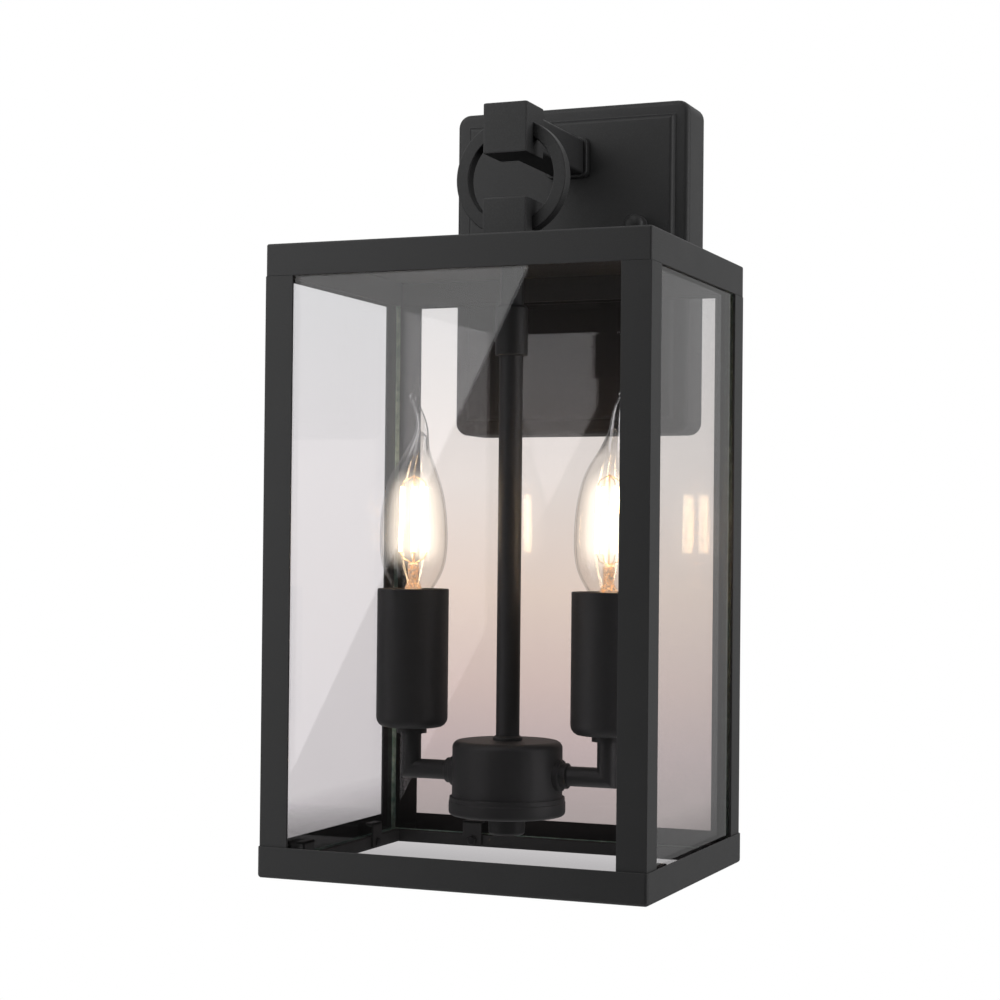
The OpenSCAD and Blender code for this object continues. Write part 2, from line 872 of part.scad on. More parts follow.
// The glass mount inside the bulb and the four lit filaments round it
module bulb_filaments(side) {
    mount_top = rim_z + 15;
    rod_low = rim_z + 19;
    rod_high = rim_z + 52;
    color("gold")
        at_lantern()
            translate([side * lamp_x, 0, 0])
                union() {
                    translate([0, 0, cap_top + 0.5]) cylinder(r1 = 5, r2 = 2, h = 8);
                    translate([0, 0, cap_top + 8]) cylinder(r = 2, h = mount_top - cap_top - 8);
                    translate([0, 0, mount_top - 1]) cylinder(r = 0.5, h = rod_high - mount_top + 3);
                    translate([0, 0, rod_low - 2]) cylinder(r = 7, h = 0.8);
                    translate([0, 0, rod_high]) cylinder(r = 5.2, h = 0.8);
                    for (a = [45:90:315])
                        rotate([0, 0, a])
                            wire([[6.2, 0, rod_low - 1.6], [4.4, 0, rod_high + 0.4]], 0.75);
                }
}

module bulb_cap(side) {
    skirt = cap_bottom + 1.8;
    color(STEEL)
        at_lantern()
            translate([side * lamp_x, 0, 0])
                difference() {
                    rotate_extrude()
                        polygon([
                            [0, cap_bottom], [2.4, cap_bottom], [cap_r - 0.4, skirt], [cap_r, skirt + 0.6],
                            [cap_r, cap_top], [5, cap_top], [5, cap_top - 1.5], [0, cap_top - 1.5]
                        ]);
                    translate([0, 0, cap_bottom - over]) cylinder(r = 1.2 + run_gap, h = 4 + over);
                }
}

module bulb_contact(side) {
    color("silver")
        at_lantern()
            translate([side * lamp_x, 0, cap_bottom])
                union() {
                    translate([0, 0, -1.6]) cylinder(r = 2.2, h = 1.5);
                    translate([0, 0, -0.5]) cylinder(r = 1.2, h = 4);
                }
}

// ---- wiring ----

// Both leads run from the wall pan through the arm, round the right of the ring and down the stem
module supply_lead(inner) {
    stack = inner ? -wire_pitch / 2 : wire_pitch / 2;
    path_r = ring_r - ring_band / 2 + stack;
    drop_x = inner ? -1.6 : 1.6;
    pan_x = inner ? -9 : 9;
    bend_y = inner ? 21.5 : 18.5;
    nipple_z = arm_local_z + stack;
    top_z = ring_z + path_r;
    low_z = ring_z - sqrt(path_r * path_r - drop_x * drop_x);
    union() {
        wire([
            [pan_x, reach - 16, drop - 16], [pan_x, reach - bend_y, drop + 20],
            [0, reach - bend_y, drop + 50], [0, reach - bend_y, nipple_z],
            [0, reach - 52, nipple_z], [0, reach - 86, top_z], [0, 0, top_z]
        ], wire_r);
        translate([0, 0, ring_z]) rotate([90, 0, 0])
            rotate([0, 0, -90 + asin(drop_x / path_r)])
                rotate_extrude(angle = 180 - asin(drop_x / path_r))
                    translate([path_r, 0]) circle(wire_r, $fn = 8);
        translate([0, 0, top_z]) sphere(wire_r, $fn = 8);
        translate([drop_x, 0, low_z]) sphere(wire_r, $fn = 8);
        wire([
            [drop_x, 0, low_z], [drop_x, 0, hub_top - 10],
            [0, -sign(drop_x) * 9, hub_top - 13], [0, -sign(drop_x) * 11.9, hub_top - 16],
            [0, -sign(drop_x) * 11.9, 40]
        ], wire_r);
    }
}

module supply_leads() {
    color("black")
        at_lantern() {
            supply_lead(true);
            supply_lead(false);
        }
}

// From the two connectors in the hub, a pair of leads goes up each elbow to its lampholder
module lamp_leads() {
    color("black")
        at_lantern()
            for (side = [-1, 1], pole = [-1, 1])
                wire([
                    [side * 1.1, pole * 13.8, 40], [side * 1.3, pole * 13.8, 48],
                    [side * 14, pole * 9, elbow_z + 1], [side * 20, pole * 1.3, elbow_z],
                    [side * lamp_x, pole * 1.3, elbow_z], [side * lamp_x, pole * 1.3, holder_top - 27]
                ], wire_r);
}

module wire_connector(r, length) {
    difference() {
        translate([0, 0, -length]) cylinder(r1 = r * 0.7, r2 = r, h = length);
        translate([0, 0, -length * 0.6]) cylinder(r = r * 0.72, h = length);
    }
}

module wire_connectors() {
    color("darkorange") {
        for (x = [-9, 9]) translate([x, -16, -9]) wire_connector(5.5, 20);
        at_lantern()
            for (y = [-13, 13]) translate([0, y, 46]) wire_connector(4.4, 13.5);
    }
}

// ---- what is drawn ----

wall_plate();
wall_gasket();
mounting_strap();
strap_studs();
stud_lock_nuts();
ground_screw();
cap_nut(LEFT);  // cap_nut_left
cap_nut(RIGHT);  // cap_nut_right
cap_washer(LEFT);  // cap_washer_left
cap_washer(RIGHT);  // cap_washer_right
arm();
arm_collar();
arm_nipple();
arm_lock_nut();
upper_block();
ring();
lower_block();
top_cap();
post(-1, -1);  // post_front_left
post(1, -1);  // post_front_right
post(-1, 1);  // post_back_left
post(1, 1);  // post_back_right
base_frame();
pane(pane_w_front, 0, -(pane_front - glass_t / 2), 0);  // glass_front
pane(pane_w_front, 0, pane_front - glass_t / 2, 0);  // glass_back
pane(pane_w_side, -(pane_side - glass_t / 2), 0, 90);  // glass_left
pane(pane_w_side, pane_side - glass_t / 2, 0, 90);  // glass_right
glass_channel();
glass_clips();
clip_screws();
roof_nipple();
upper_stem();
coupler();
stem();
stem_collar();
hub_body();
hub_bracket();
hub_lock_nuts();
hub_cover();
finial();
hub_bushings();
elbow(LEFT);  // elbow_left
elbow(RIGHT);  // elbow_right
seat_collars();
sleeve(LEFT);  // sleeve_left
sleeve(RIGHT);  // sleeve_right
lampholder(LEFT);  // lampholder_left
lampholder(RIGHT);  // lampholder_right
socket_shells();
bulb_glass(LEFT);  // bulb_left_glass
bulb_glass(RIGHT);  // bulb_right_glass
bulb_filaments(LEFT);  // bulb_left_filaments
bulb_filaments(RIGHT);  // bulb_right_filaments
bulb_cap(LEFT);  // bulb_left_cap
bulb_cap(RIGHT);  // bulb_right_cap
bulb_contact(LEFT);  // bulb_left_contact
bulb_contact(RIGHT);  // bulb_right_contact
supply_leads();
lamp_leads();
wire_connectors();
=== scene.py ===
"""An outdoor wall lantern: a glazed box hung from a ring on a bracket arm, with two candle lamps inside.

Each sub-assembly is a class that builds its pieces round the fixed frame and dresses them. Sizes inside a
class are millimetres in the lantern's own frame (origin on the stem's axis at the bottom of the base) or in
the wall plate's frame (origin on the wall), and every finished mesh holds metres in the shared frame.
"""

from __future__ import annotations

import json
import logging
import math
from dataclasses import dataclass, field
from enum import Enum
from typing import Any, Iterable, Protocol, Sequence

import bmesh
import bpy
from mathutils import Matrix, Vector

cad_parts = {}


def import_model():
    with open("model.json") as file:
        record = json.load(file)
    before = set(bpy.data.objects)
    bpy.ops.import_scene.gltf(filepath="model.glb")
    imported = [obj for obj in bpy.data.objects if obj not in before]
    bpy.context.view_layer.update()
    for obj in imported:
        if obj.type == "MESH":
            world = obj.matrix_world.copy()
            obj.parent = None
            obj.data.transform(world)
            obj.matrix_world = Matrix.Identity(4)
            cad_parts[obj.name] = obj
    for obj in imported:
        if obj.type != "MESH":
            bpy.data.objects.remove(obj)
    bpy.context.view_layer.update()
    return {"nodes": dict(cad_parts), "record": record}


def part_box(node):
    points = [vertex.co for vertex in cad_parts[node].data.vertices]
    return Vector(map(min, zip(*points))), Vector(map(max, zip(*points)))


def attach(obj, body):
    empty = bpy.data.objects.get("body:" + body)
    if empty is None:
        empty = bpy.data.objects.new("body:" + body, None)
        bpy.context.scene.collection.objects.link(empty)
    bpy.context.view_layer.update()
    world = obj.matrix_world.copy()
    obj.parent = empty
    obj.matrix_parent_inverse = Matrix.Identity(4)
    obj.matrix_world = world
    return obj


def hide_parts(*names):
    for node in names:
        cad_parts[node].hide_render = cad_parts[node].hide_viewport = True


LOG = logging.getLogger("lantern")
MM = 0.001
SMOOTH_ANGLE = math.radians(32)
FRONT, BACK = -1, 1
Point2 = tuple[float, float]
Corner = tuple[float, float, float]
Colour = tuple[float, float, float]


class Side(Enum):
    """The viewer's left or right."""

    LEFT = -1
    RIGHT = 1

    @property
    def word(self) -> str:
        """The side's name, as it stands in the names of nodes."""
        return self.name.lower()


class Body(str, Enum):
    """The rigid bodies that pieces ride on."""

    LANTERN = "lantern"
    HUB_COVER = "hub_cover_drops"
    FINIAL = "finial_turns"


class Slot(str, Enum):
    """The record's material slots."""

    COAT = "powder_coat"
    ZINC = "zinc_steel"
    PANE = "pane_glass"
    BULB = "bulb_glass"
    FILAMENT = "filament"
    NICKEL = "plated_cap"
    HOLDER = "holder_plastic"
    BRASS = "brass"
    FOAM = "gasket_foam"
    GREEN = "ground_green"
    SHEATH = "lead_sheath"
    CONNECTOR = "connector"


# ---------------------------------------------------------------------------------------------------------
# shader building


class Value:
    """A shader socket that takes part in arithmetic. Each operation adds one Math node."""

    def __init__(self, graph: "Graph", socket: bpy.types.NodeSocket) -> None:
        """Wraps socket, which belongs to graph."""
        self.graph = graph
        self.socket = socket

    def _math(self, operation: str, *operands: "Value | float") -> "Value":
        """Adds a Math node.

        Args:
            operation: the node's operation.
            operands: its inputs, in order.

        Returns:
            The node's result.
        """
        return self.graph.value("ShaderNodeMath", {"operation": operation}, dict(enumerate(operands)))

    def __add__(self, other: "Value | float") -> "Value":
        """self + other."""
        return self._math("ADD", self, other)

    __radd__ = __add__

    def __sub__(self, other: "Value | float") -> "Value":
        """self - other."""
        return self._math("SUBTRACT", self, other)

    def __rsub__(self, other: float) -> "Value":
        """other - self."""
        return self._math("SUBTRACT", other, self)

    def __mul__(self, other: "Value | float") -> "Value":
        """self * other."""
        return self._math("MULTIPLY", self, other)

    __rmul__ = __mul__

    def __truediv__(self, other: "Value | float") -> "Value":
        """self / other."""
        return self._math("DIVIDE", self, other)

    def __pow__(self, other: float) -> "Value":
        """self to the power of other."""
        return self._math("POWER", self, other)

    def __abs__(self) -> "Value":
        """The size of self."""
        return self._math("ABSOLUTE", self)

    def sine(self) -> "Value":
        """The sine of self, in radians."""
        return self._math("SINE", self)

    def clamped(self) -> "Value":
        """self, kept from 0 to 1."""
        return self.graph.value("ShaderNodeClamp", {}, {0: self})

    def between(self, low: float, high: float) -> "Value":
        """A smooth step of self: 0 below low, 1 above high."""
        settings = {"interpolation_type": "SMOOTHSTEP"}
        return self.graph.value("ShaderNodeMapRange", settings, {0: self, 1: low, 2: high})

    def along(self, low: float, high: float) -> "Value":
        """A straight rise of self: 0 below low, 1 above high."""
        return self.graph.value("ShaderNodeMapRange", {}, {0: self, 1: low, 2: high})


class Graph:
    """The node tree of one material or world."""

    def __init__(self, tree: bpy.types.NodeTree) -> None:
        """Empties tree and builds in it."""
        self.tree = tree
        tree.nodes.clear()

    def node(self, kind: str, settings: dict[str, Any], inputs: dict[Any, Any]) -> bpy.types.Node:
        """Adds a node.

        Args:
            kind: the node's type.
            settings: its properties, set before its sockets.
            inputs: socket name or index to a number, a colour, a Value or a socket to link.

        Returns:
            The node.
        """
        node = self.tree.nodes.new(kind)
        for name, setting in settings.items():
            setattr(node, name, setting)
        for name, given in inputs.items():
            source = given.socket if isinstance(given, Value) else given
            if isinstance(source, bpy.types.NodeSocket):
                self.tree.links.new(source, node.inputs[name])
            else:
                node.inputs[name].default_value = source
        return node

    def value(self, kind: str, settings: dict[str, Any], inputs: dict[Any, Any], out: Any = 0) -> Value:
        """Adds a node and returns one of its outputs, wrapped.

        Args:
            kind: the node's type.
            settings: its properties.
            inputs: its inputs.
            out: the output's name or index.

        Returns:
            That output.
        """
        return Value(self, self.node(kind, settings, inputs).outputs[out])

    def place(self, centre: Sequence[float] = (0, 0, 0), scale: float = 1.0) -> bpy.types.NodeSocket:
        """Object coordinates round centre.

        Args:
            centre: where they are zero, in metres.
            scale: what they are multiplied by.

        Returns:
            The vector.
        """
        origin = self.node("ShaderNodeTexCoord", {}, {}).outputs["Object"]
        shift = [-c * scale for c in centre]
        inputs = {"Vector": origin, "Location": shift, "Scale": (scale, scale, scale)}
        return self.node("ShaderNodeMapping", {}, inputs).outputs[0]

    def axes(self, vector: bpy.types.NodeSocket) -> tuple[Value, Value, Value]:
        """A vector's three parts."""
        parts = self.node("ShaderNodeSeparateXYZ", {}, {0: vector}).outputs
        return Value(self, parts[0]), Value(self, parts[1]), Value(self, parts[2])

    def noise(self, vector: bpy.types.NodeSocket, scale: float, detail: float = 2.0) -> Value:
        """Fractal noise from 0 to 1.

        Args:
            vector: where it is read.
            scale: features per metre.
            detail: octaves.

        Returns:
            The noise.
        """
        inputs = {"Vector": vector, "Scale": scale, "Detail": detail, "Roughness": 0.55}
        return self.value("ShaderNodeTexNoise", {}, inputs)

    def blend(self, share: Value | float, low: Any, high: Any) -> bpy.types.NodeSocket:
        """A colour between low and high.

        Args:
            share: 0 for low, 1 for high.
            low: a colour or a colour socket.
            high: the same.

        Returns:
            The mixed colour.
        """
        colours = {6: low, 7: high}
        inputs = {0: share} | {k: (*v, 1.0) if isinstance(v, tuple) else v for k, v in colours.items()}
        return self.node("ShaderNodeMix", {"data_type": "RGBA"}, inputs).outputs[2]

    def bump(self, height: Value, depth_mm: float, strength: float = 1.0) -> bpy.types.NodeSocket:
        """A normal from a height.

        Args:
            height: from 0 to 1.
            depth_mm: how deep 0 to 1 is.
            strength: how much of it shows.

        Returns:
            The normal.
        """
        inputs = {"Height": height, "Distance": depth_mm * MM, "Strength": strength}
        return self.node("ShaderNodeBump", {}, inputs).outputs[0]

    def see_through(self, colour: Colour) -> bpy.types.NodeSocket:
        """A shader that light passes straight through, tinted by colour."""
        return self.node("ShaderNodeBsdfTransparent", {}, {"Color": (*colour, 1.0)}).outputs[0]

    def mirror(self, roughness: float) -> bpy.types.NodeSocket:
        """A white reflecting shader."""
        return self.node("ShaderNodeBsdfGlossy", {}, {"Roughness": roughness}).outputs[0]

    def facing(self) -> Value:
        """0 where the surface faces the eye, 1 where it is seen edge on."""
        return self.value("ShaderNodeLayerWeight", {}, {"Blend": 0.5}, "Facing")

    def mix(
        self, share: Value | bpy.types.NodeSocket, low: bpy.types.NodeSocket, high: bpy.types.NodeSocket
    ) -> bpy.types.NodeSocket:
        """A shader between two others.

        Args:
            share: 0 for low, 1 for high.
            low: a shader.
            high: the other.

        Returns:
            The mixed shader.
        """
        return self.node("ShaderNodeMixShader", {}, {0: share, 1: low, 2: high}).outputs[0]

    def principled(self, inputs: dict[str, Any]) -> None:
        """Makes a Principled shader with these inputs what the material shows."""
        self.surface(self.node("ShaderNodeBsdfPrincipled", {}, inputs).outputs[0])

    def surface(self, shader: bpy.types.NodeSocket) -> None:
        """Makes shader what the material shows."""
        self.node("ShaderNodeOutputMaterial", {}, {"Surface": shader})


def new_material(name: str, preview: Colour) -> tuple[bpy.types.Material, Graph]:
    """An empty node material.

    Args:
        name: its name.
        preview: its plain colour.

    Returns:
        The material and its graph.
    """
    material = bpy.data.materials.new(name)
    material.use_nodes = True
    material.diffuse_color = (*preview, 1.0)
    return material, Graph(material.node_tree)


@dataclass(frozen=True)
class PowderCoat:
    """Fine-textured matte powder coat: a dense orange-peel grain with a faint cloudiness."""

    name: str = "powder coat black"
    dark: Colour = (0.0125, 0.0125, 0.0130)
    light: Colour = (0.0190, 0.0190, 0.0195)
    roughness: float = 0.56
    grain_per_m: float = 2100.0
    grain_depth_mm: float = 0.035

    def build(self) -> bpy.types.Material:
        """Makes the material.

        Returns:
            The material.
        """
        material, graph = new_material(self.name, self.light)
        spot = graph.place()
        grain = graph.noise(spot, self.grain_per_m, 3.0)
        cloud = graph.noise(spot, 45.0, 3.0)
        peak = grain.between(0.46, 0.66)
        colour = graph.blend((peak * 0.6 + cloud * 0.5).clamped(), self.dark, self.light)
        inputs = {
            "Base Color": colour,
            "Roughness": (self.roughness - peak * 0.10 + (cloud - 0.5) * 0.10).clamped(),
            "Normal": graph.bump(grain, self.grain_depth_mm),
            "Specular IOR Level": 0.36,
        }
        graph.principled(inputs)
        return material


@dataclass(frozen=True)
class PlainMetal:
    """A plated or drawn metal with fine marks and patches of tarnish."""

    name: str
    bright: Colour
    dull: Colour
    roughness: float
    marks_per_m: float = 900.0

    def build(self) -> bpy.types.Material:
        """Makes the material.

        Returns:
            The material.
        """
        material, graph = new_material(self.name, self.bright)
        spot = graph.place()
        patch = graph.noise(spot, 130.0, 4.0)
        marks = graph.noise(spot, self.marks_per_m, 3.0)
        inputs = {
            "Base Color": graph.blend(patch.between(0.38, 0.68), self.bright, self.dull),
            "Metallic": 1.0,
            "Roughness": (self.roughness + (patch - 0.5) * 0.25 + (marks - 0.5) * 0.15).clamped(),
            "Normal": graph.bump(marks, 0.012),
        }
        graph.principled(inputs)
        return material


@dataclass(frozen=True)
class Moulding:
    """Moulded plastic, foam, rubber or an enamelled part: a base colour with a fine surface."""

    name: str
    colour: Colour
    shade: Colour
    roughness: float
    grain_per_m: float
    grain_depth_mm: float

    def build(self) -> bpy.types.Material:
        """Makes the material.

        Returns:
            The material.
        """
        material, graph = new_material(self.name, self.colour)
        spot = graph.place()
        cloud = graph.noise(spot, 160.0, 3.0)
        grain = graph.noise(spot, self.grain_per_m, 2.0)
        inputs = {
            "Base Color": graph.blend(cloud.between(0.35, 0.7), self.colour, self.shade),
            "Roughness": (self.roughness + (grain - 0.5) * 0.2).clamped(),
            "Normal": graph.bump(grain, self.grain_depth_mm),
        }
        graph.principled(inputs)
        return material


PaintedTint = tuple[tuple[float, Colour], ...]

# painted shade: the panes' see-through tint is darker low down, just above the base band
LOW_SHADE_TINT: PaintedTint = (
    (0.0, (0.68, 0.67, 0.675)),
    (16.0, (0.72, 0.71, 0.715)),
    (38.0, (0.93, 0.918, 0.924)),
    (200.0, (0.945, 0.935, 0.94)),
    (312.0, (0.93, 0.93, 0.935)),
)
# painted glow and shade: the back pane's tint is warm round the bulbs' height and darker low down
BULB_GLOW_AND_LOW_SHADE_TINT: PaintedTint = (
    (0.0, (0.69, 0.66, 0.65)),
    (54.0, (0.825, 0.756, 0.747)),
    (88.0, (0.904, 0.817, 0.783)),
    (140.0, (0.985, 0.904, 0.842)),
    (200.0, (0.985, 0.950, 0.920)),
    (312.0, (0.90, 0.895, 0.895)),
)


@dataclass(frozen=True)
class ClearPane:
    """Thin-looking flat glass: it passes light straight through, and mirrors by its angle.

    Each face carries a faint see-through tint, given by its colour at heights above the base in mm. The tint
    paints light and shade: painted shade darkens it low down, and on the back pane a painted glow warms it at
    the bulbs' height.
    """

    name: str
    film: PaintedTint
    face_on: float = 0.043

    def build(self, floor_z: float) -> bpy.types.Material:
        """Makes the material.

        Args:
            floor_z: height of the lantern's bottom, in metres.

        Returns:
            The material.
        """
        material, graph = new_material(self.name, (0.9, 0.95, 0.93))
        height = graph.axes(graph.place((0, 0, floor_z)))[2] / MM
        # painted light and shade: the see-through tint follows the height table
        film = graph.see_through(self.film[0][1])
        for (low, _), (high, colour) in zip(self.film, self.film[1:]):
            film = graph.mix(height.along(low, high), film, graph.see_through(colour))
        share = (graph.facing() ** 5.0) * (1 - self.face_on) + self.face_on
        graph.surface(graph.mix(share, film, graph.mirror(0.0)))
        return material


@dataclass(frozen=True)
class GlassEdge:
    """The cut and ground edge of a pane, where the glass looks green."""

    name: str = "pane edge"

    def build(self) -> bpy.types.Material:
        """Makes the material.

        Returns:
            The material.
        """
        material, graph = new_material(self.name, (0.3, 0.45, 0.4))
        streaks = graph.noise(graph.place(), 240.0, 3.0)
        inputs = {
            "Base Color": graph.blend(streaks.between(0.3, 0.7), (0.20, 0.34, 0.30), (0.42, 0.58, 0.52)),
            "Roughness": (streaks * 0.2 + 0.15).clamped(),
            "Coat Weight": 0.4,
        }
        graph.principled(inputs)
        return material


@dataclass(frozen=True)
class BlownGlass:
    """A lit bulb's clear glass, with painted shade at its rim where it is seen edge on, and the filaments'
    light painted as a glow in it.

    Heights are metres above the sleeve's rim. The tip's outline carries more painted shade and mirrors more
    than the body's.
    """

    name: str
    centre: Vector
    clear: Colour = (0.985, 0.98, 0.97)
    smoke: Colour = (0.40, 0.39, 0.39)
    tip_low: float = 0.066
    tip_high: float = 0.080
    glow_mid: float = 0.036
    glow_half: float = 0.019
    glow_share: float = 0.19
    glow_colour: Colour = (1.0, 0.88, 0.72)
    glow_strength: float = 2.8

    def build(self) -> bpy.types.Material:
        """Makes the material.

        Returns:
            The material.
        """
        material, graph = new_material(self.name, (0.95, 0.93, 0.88))
        z = graph.axes(graph.place(self.centre))[2]
        facing = graph.facing()
        tip = z.between(self.tip_low, self.tip_high)
        # painted shade: a grey see-through tint where the glass is seen edge on, wider at the tip
        rim = ((facing**11.0) * (1 - tip) + (facing**2.4) * tip * 0.7).clamped()
        film = graph.mix(rim, graph.see_through(self.clear), graph.see_through(self.smoke))
        share = (facing**6.5) * 0.5 + 0.03 + tip * (facing * 0.60 + 0.08)
        glass = graph.mix(share.clamped(), film, graph.mirror(0.02))
        # painted glow: an emission in the glass at the filaments' height, strongest where it faces the eye,
        # stands in for their light
        inputs = {"Color": (*self.glow_colour, 1.0), "Strength": self.glow_strength}
        light = graph.node("ShaderNodeEmission", {}, inputs).outputs[0]
        level = 1 - (abs(z - self.glow_mid) / self.glow_half).between(0.62, 1.45)
        glow = (level * (1 - facing).clamped() ** 3.4 * self.glow_share).clamped()
        graph.surface(graph.mix(glow, glass, light))
        return material


@dataclass(frozen=True)
class LitPhosphor:
    """A lit filament: bright warm white, more amber at its ends and in the gaps between its chips."""

    name: str
    low: float
    high: float
    chips: float = 28.0
    middle: Colour = (1.0, 0.80, 0.52)
    ends: Colour = (0.055, 0.042, 0.006)
    strength: float = 26.0

    def build(self) -> bpy.types.Material:
        """Makes the material.

        Returns:
            The material.
        """
        material, graph = new_material(self.name, (1.0, 0.75, 0.4))
        height = graph.axes(graph.place((0, 0, self.low)))[2] / (self.high - self.low)
        middle = (1 - (abs(height - 0.5) * 2.0) ** 8.0).clamped()
        chips = (height * self.chips * math.tau).sine() * 0.12 + 0.88
        colour = graph.blend(middle, self.ends, self.middle)
        lit = graph.node("ShaderNodeVectorMath", {"operation": "SCALE"}, {0: colour, 3: chips}).outputs[0]
        inputs = {
            "Base Color": (0.95, 0.72, 0.32, 1),
            "Emission Color": lit,
            "Emission Strength": self.strength,
            "Roughness": 0.5,
        }
        graph.principled(inputs)
        material.cycles.emission_sampling = "NONE"
        return material


@dataclass(frozen=True)
class MountGlass:
    """The pinched glass stalk under the filaments, with small amber glints and a faint glow painted into it.
    """

    name: str = "mount glass"

    def build(self) -> bpy.types.Material:
        """Makes the material.

        Returns:
            The material.
        """
        material, graph = new_material(self.name, (0.9, 0.75, 0.6))
        # painted glints: amber flecks of colour stand in for the filaments' light caught in the glass
        glints = graph.noise(graph.place(), 900.0, 3.0).between(0.45, 0.62)
        inputs = {
            "Base Color": graph.blend(glints, (0.95, 0.90, 0.82), (0.74, 0.40, 0.16)),
            "Roughness": (glints * 0.2 + 0.08).clamped(),
            # painted glow: the stalk gives off a faint light of its own
            "Emission Color": graph.blend(glints, (1.0, 0.86, 0.70), (1.0, 0.50, 0.20)),
            "Emission Strength": 0.7,
        }
        solid = graph.node("ShaderNodeBsdfPrincipled", {}, inputs).outputs[0]
        share = (glints * 0.40 + 0.22).clamped()
        graph.surface(graph.mix(share, graph.see_through((0.90, 0.84, 0.78)), solid))
        return material


@dataclass(frozen=True)
class Support:
    """The clear glass rod and the fine wires that hold the filaments."""

    name: str = "filament supports"

    def build(self) -> bpy.types.Material:
        """Makes the material.

        Returns:
            The material.
        """
        material, graph = new_material(self.name, (0.8, 0.6, 0.4))
        streak = graph.noise(graph.place(), 700.0, 2.0)
        inputs = {
            "Base Color": graph.blend(streak.between(0.3, 0.7), (0.86, 0.62, 0.34), (0.62, 0.40, 0.20)),
            "Metallic": 0.85,
            "Roughness": (streak * 0.2 + 0.12).clamped(),
            # painted glow: a faint orange emission stands in for the filaments' light on the rod and wires
            "Emission Color": (1.0, 0.45, 0.14, 1),
            "Emission Strength": 0.18,
        }
        graph.principled(inputs)
        return material


# ---------------------------------------------------------------------------------------------------------
# mesh building


def rounded(corners: Sequence[Corner], closed: bool, steps: int = 4) -> list[Point2]:
    """Rounds the corners of an outline.

    Args:
        corners: across, along and fillet radius of each corner.
        closed: whether the last corner joins the first.
        steps: segments in each fillet.

    Returns:
        The outline's points.
    """
    out: list[Point2] = []
    count = len(corners)
    for i, (a, b, radius) in enumerate(corners):
        here = Vector((a, b))
        if radius <= 0 or (not closed and i in (0, count - 1)):
            out.append((a, b))
            continue
        before = Vector(corners[i - 1][:2]) - here
        after = Vector(corners[(i + 1) % count][:2]) - here
        angle = before.angle(after)
        run = min(radius / math.tan(angle / 2), 0.49 * before.length, 0.49 * after.length)
        size = run * math.tan(angle / 2)
        before.normalize()
        after.normalize()
        centre = here + (before + after).normalized() * (size / math.sin(angle / 2))
        start, end = here + before * run - centre, here + after * run - centre
        sweep = start.angle_signed(end)
        for k in range(steps + 1):
            turned = start.copy()
            turned.rotate(Matrix.Rotation(-sweep * k / steps, 2))
            out.append(tuple(centre + turned))
    return out


def circle_loop(radius: float, height: float, steps: int) -> list[Vector]:
    """A ring of points round Z, or one point where the radius is nothing.

    Args:
        radius: of the ring.
        height: its Z.
        steps: how many points.

    Returns:
        The points.
    """
    if radius < 1e-6:
        return [Vector((0, 0, height))]
    turn = math.tau / steps
    return [Vector((radius * math.cos(i * turn), radius * math.sin(i * turn), height)) for i in range(steps)]


def rect_loop(width: float, depth: float, corner: float, height: float, steps: int = 6) -> list[Vector]:
    """A rounded rectangle of points round Z.

    Args:
        width: its size along X.
        depth: its size along Y.
        corner: its corner radius.
        height: its Z.
        steps: segments in each corner.

    Returns:
        The points.
    """
    corner = max(corner, 0.02)
    quarter = math.pi / 2
    out = []
    for k, (sx, sy) in enumerate(((1, 1), (-1, 1), (-1, -1), (1, -1))):
        for i in range(steps + 1):
            angle = k * quarter + quarter * i / steps
            x = sx * (width / 2 - corner) + corner * math.cos(angle)
            y = sy * (depth / 2 - corner) + corner * math.sin(angle)
            out.append(Vector((x, y, height)))
    return out


def skinned(loops: Sequence[Sequence[Vector]], closed: bool) -> bmesh.types.BMesh:
    """Joins rings of points into a closed skin.

    Args:
        loops: the rings, each with the same number of points, or one point for a pole.
        closed: whether the last ring joins the first. If not, both end rings are capped.

    Returns:
        The mesh.
    """
    mesh = bmesh.new()
    rows = [[mesh.verts.new(p) for p in loop] for loop in loops]
    pairs = list(zip(rows, rows[1:])) + ([(rows[-1], rows[0])] if closed else [])
    for low, high in pairs:
        n = max(len(low), len(high))
        for i in range(n):
            j = (i + 1) % n
            quad = (low[i % len(low)], low[j % len(low)], high[j % len(high)], high[i % len(high)])
            mesh.faces.new(dict.fromkeys(quad))
    if not closed:
        for row in (rows[0], rows[-1]):
            if len(row) > 2:
                mesh.faces.new(row)
    bmesh.ops.recalc_face_normals(mesh, faces=mesh.faces)
    return mesh


@dataclass(frozen=True)
class Thread:
    """A rolled screw thread: crests at the outline's own radius, grooves below them."""

    pitch: float
    depth: float
    start: float
    end: float

    def cut(self, height: float, angle: float) -> float:
        """How far below the crest the surface is.

        Args:
            height: where along the axis.
            angle: where round it.

        Returns:
            The depth, which fades out over the first and last turn.
        """
        if not self.start <= height <= self.end:
            return 0.0
        fade = min(1.0, (height - self.start) / self.pitch, (self.end - height) / self.pitch)
        return self.depth * fade * 0.5 * (1 - math.cos(math.tau * height / self.pitch - angle))


def turned(
    outline: Sequence[Corner], closed: bool, steps: int = 96, threads: Sequence[Thread] = ()
) -> bmesh.types.BMesh:
    """A lathe piece round Z.

    Args:
        outline: radius, height and fillet of each corner.
        closed: whether the outline is a ring (a hollow piece) or starts and ends on the axis.
        steps: segments round the axis.
        threads: screw threads to roll into it.

    Returns:
        The mesh.
    """
    points = rounded(outline, closed)
    if threads:
        points = _close_rows(points, closed, threads)
    loops = [circle_loop(radius, height, steps) for radius, height in points]
    for thread in threads:
        for (radius, height), loop in zip(points, loops):
            if len(loop) > 1:
                for i, point in enumerate(loop):
                    shrink = 1 - thread.cut(height, i * math.tau / steps) / radius
                    point.x *= shrink
                    point.y *= shrink
    return skinned(loops, closed)


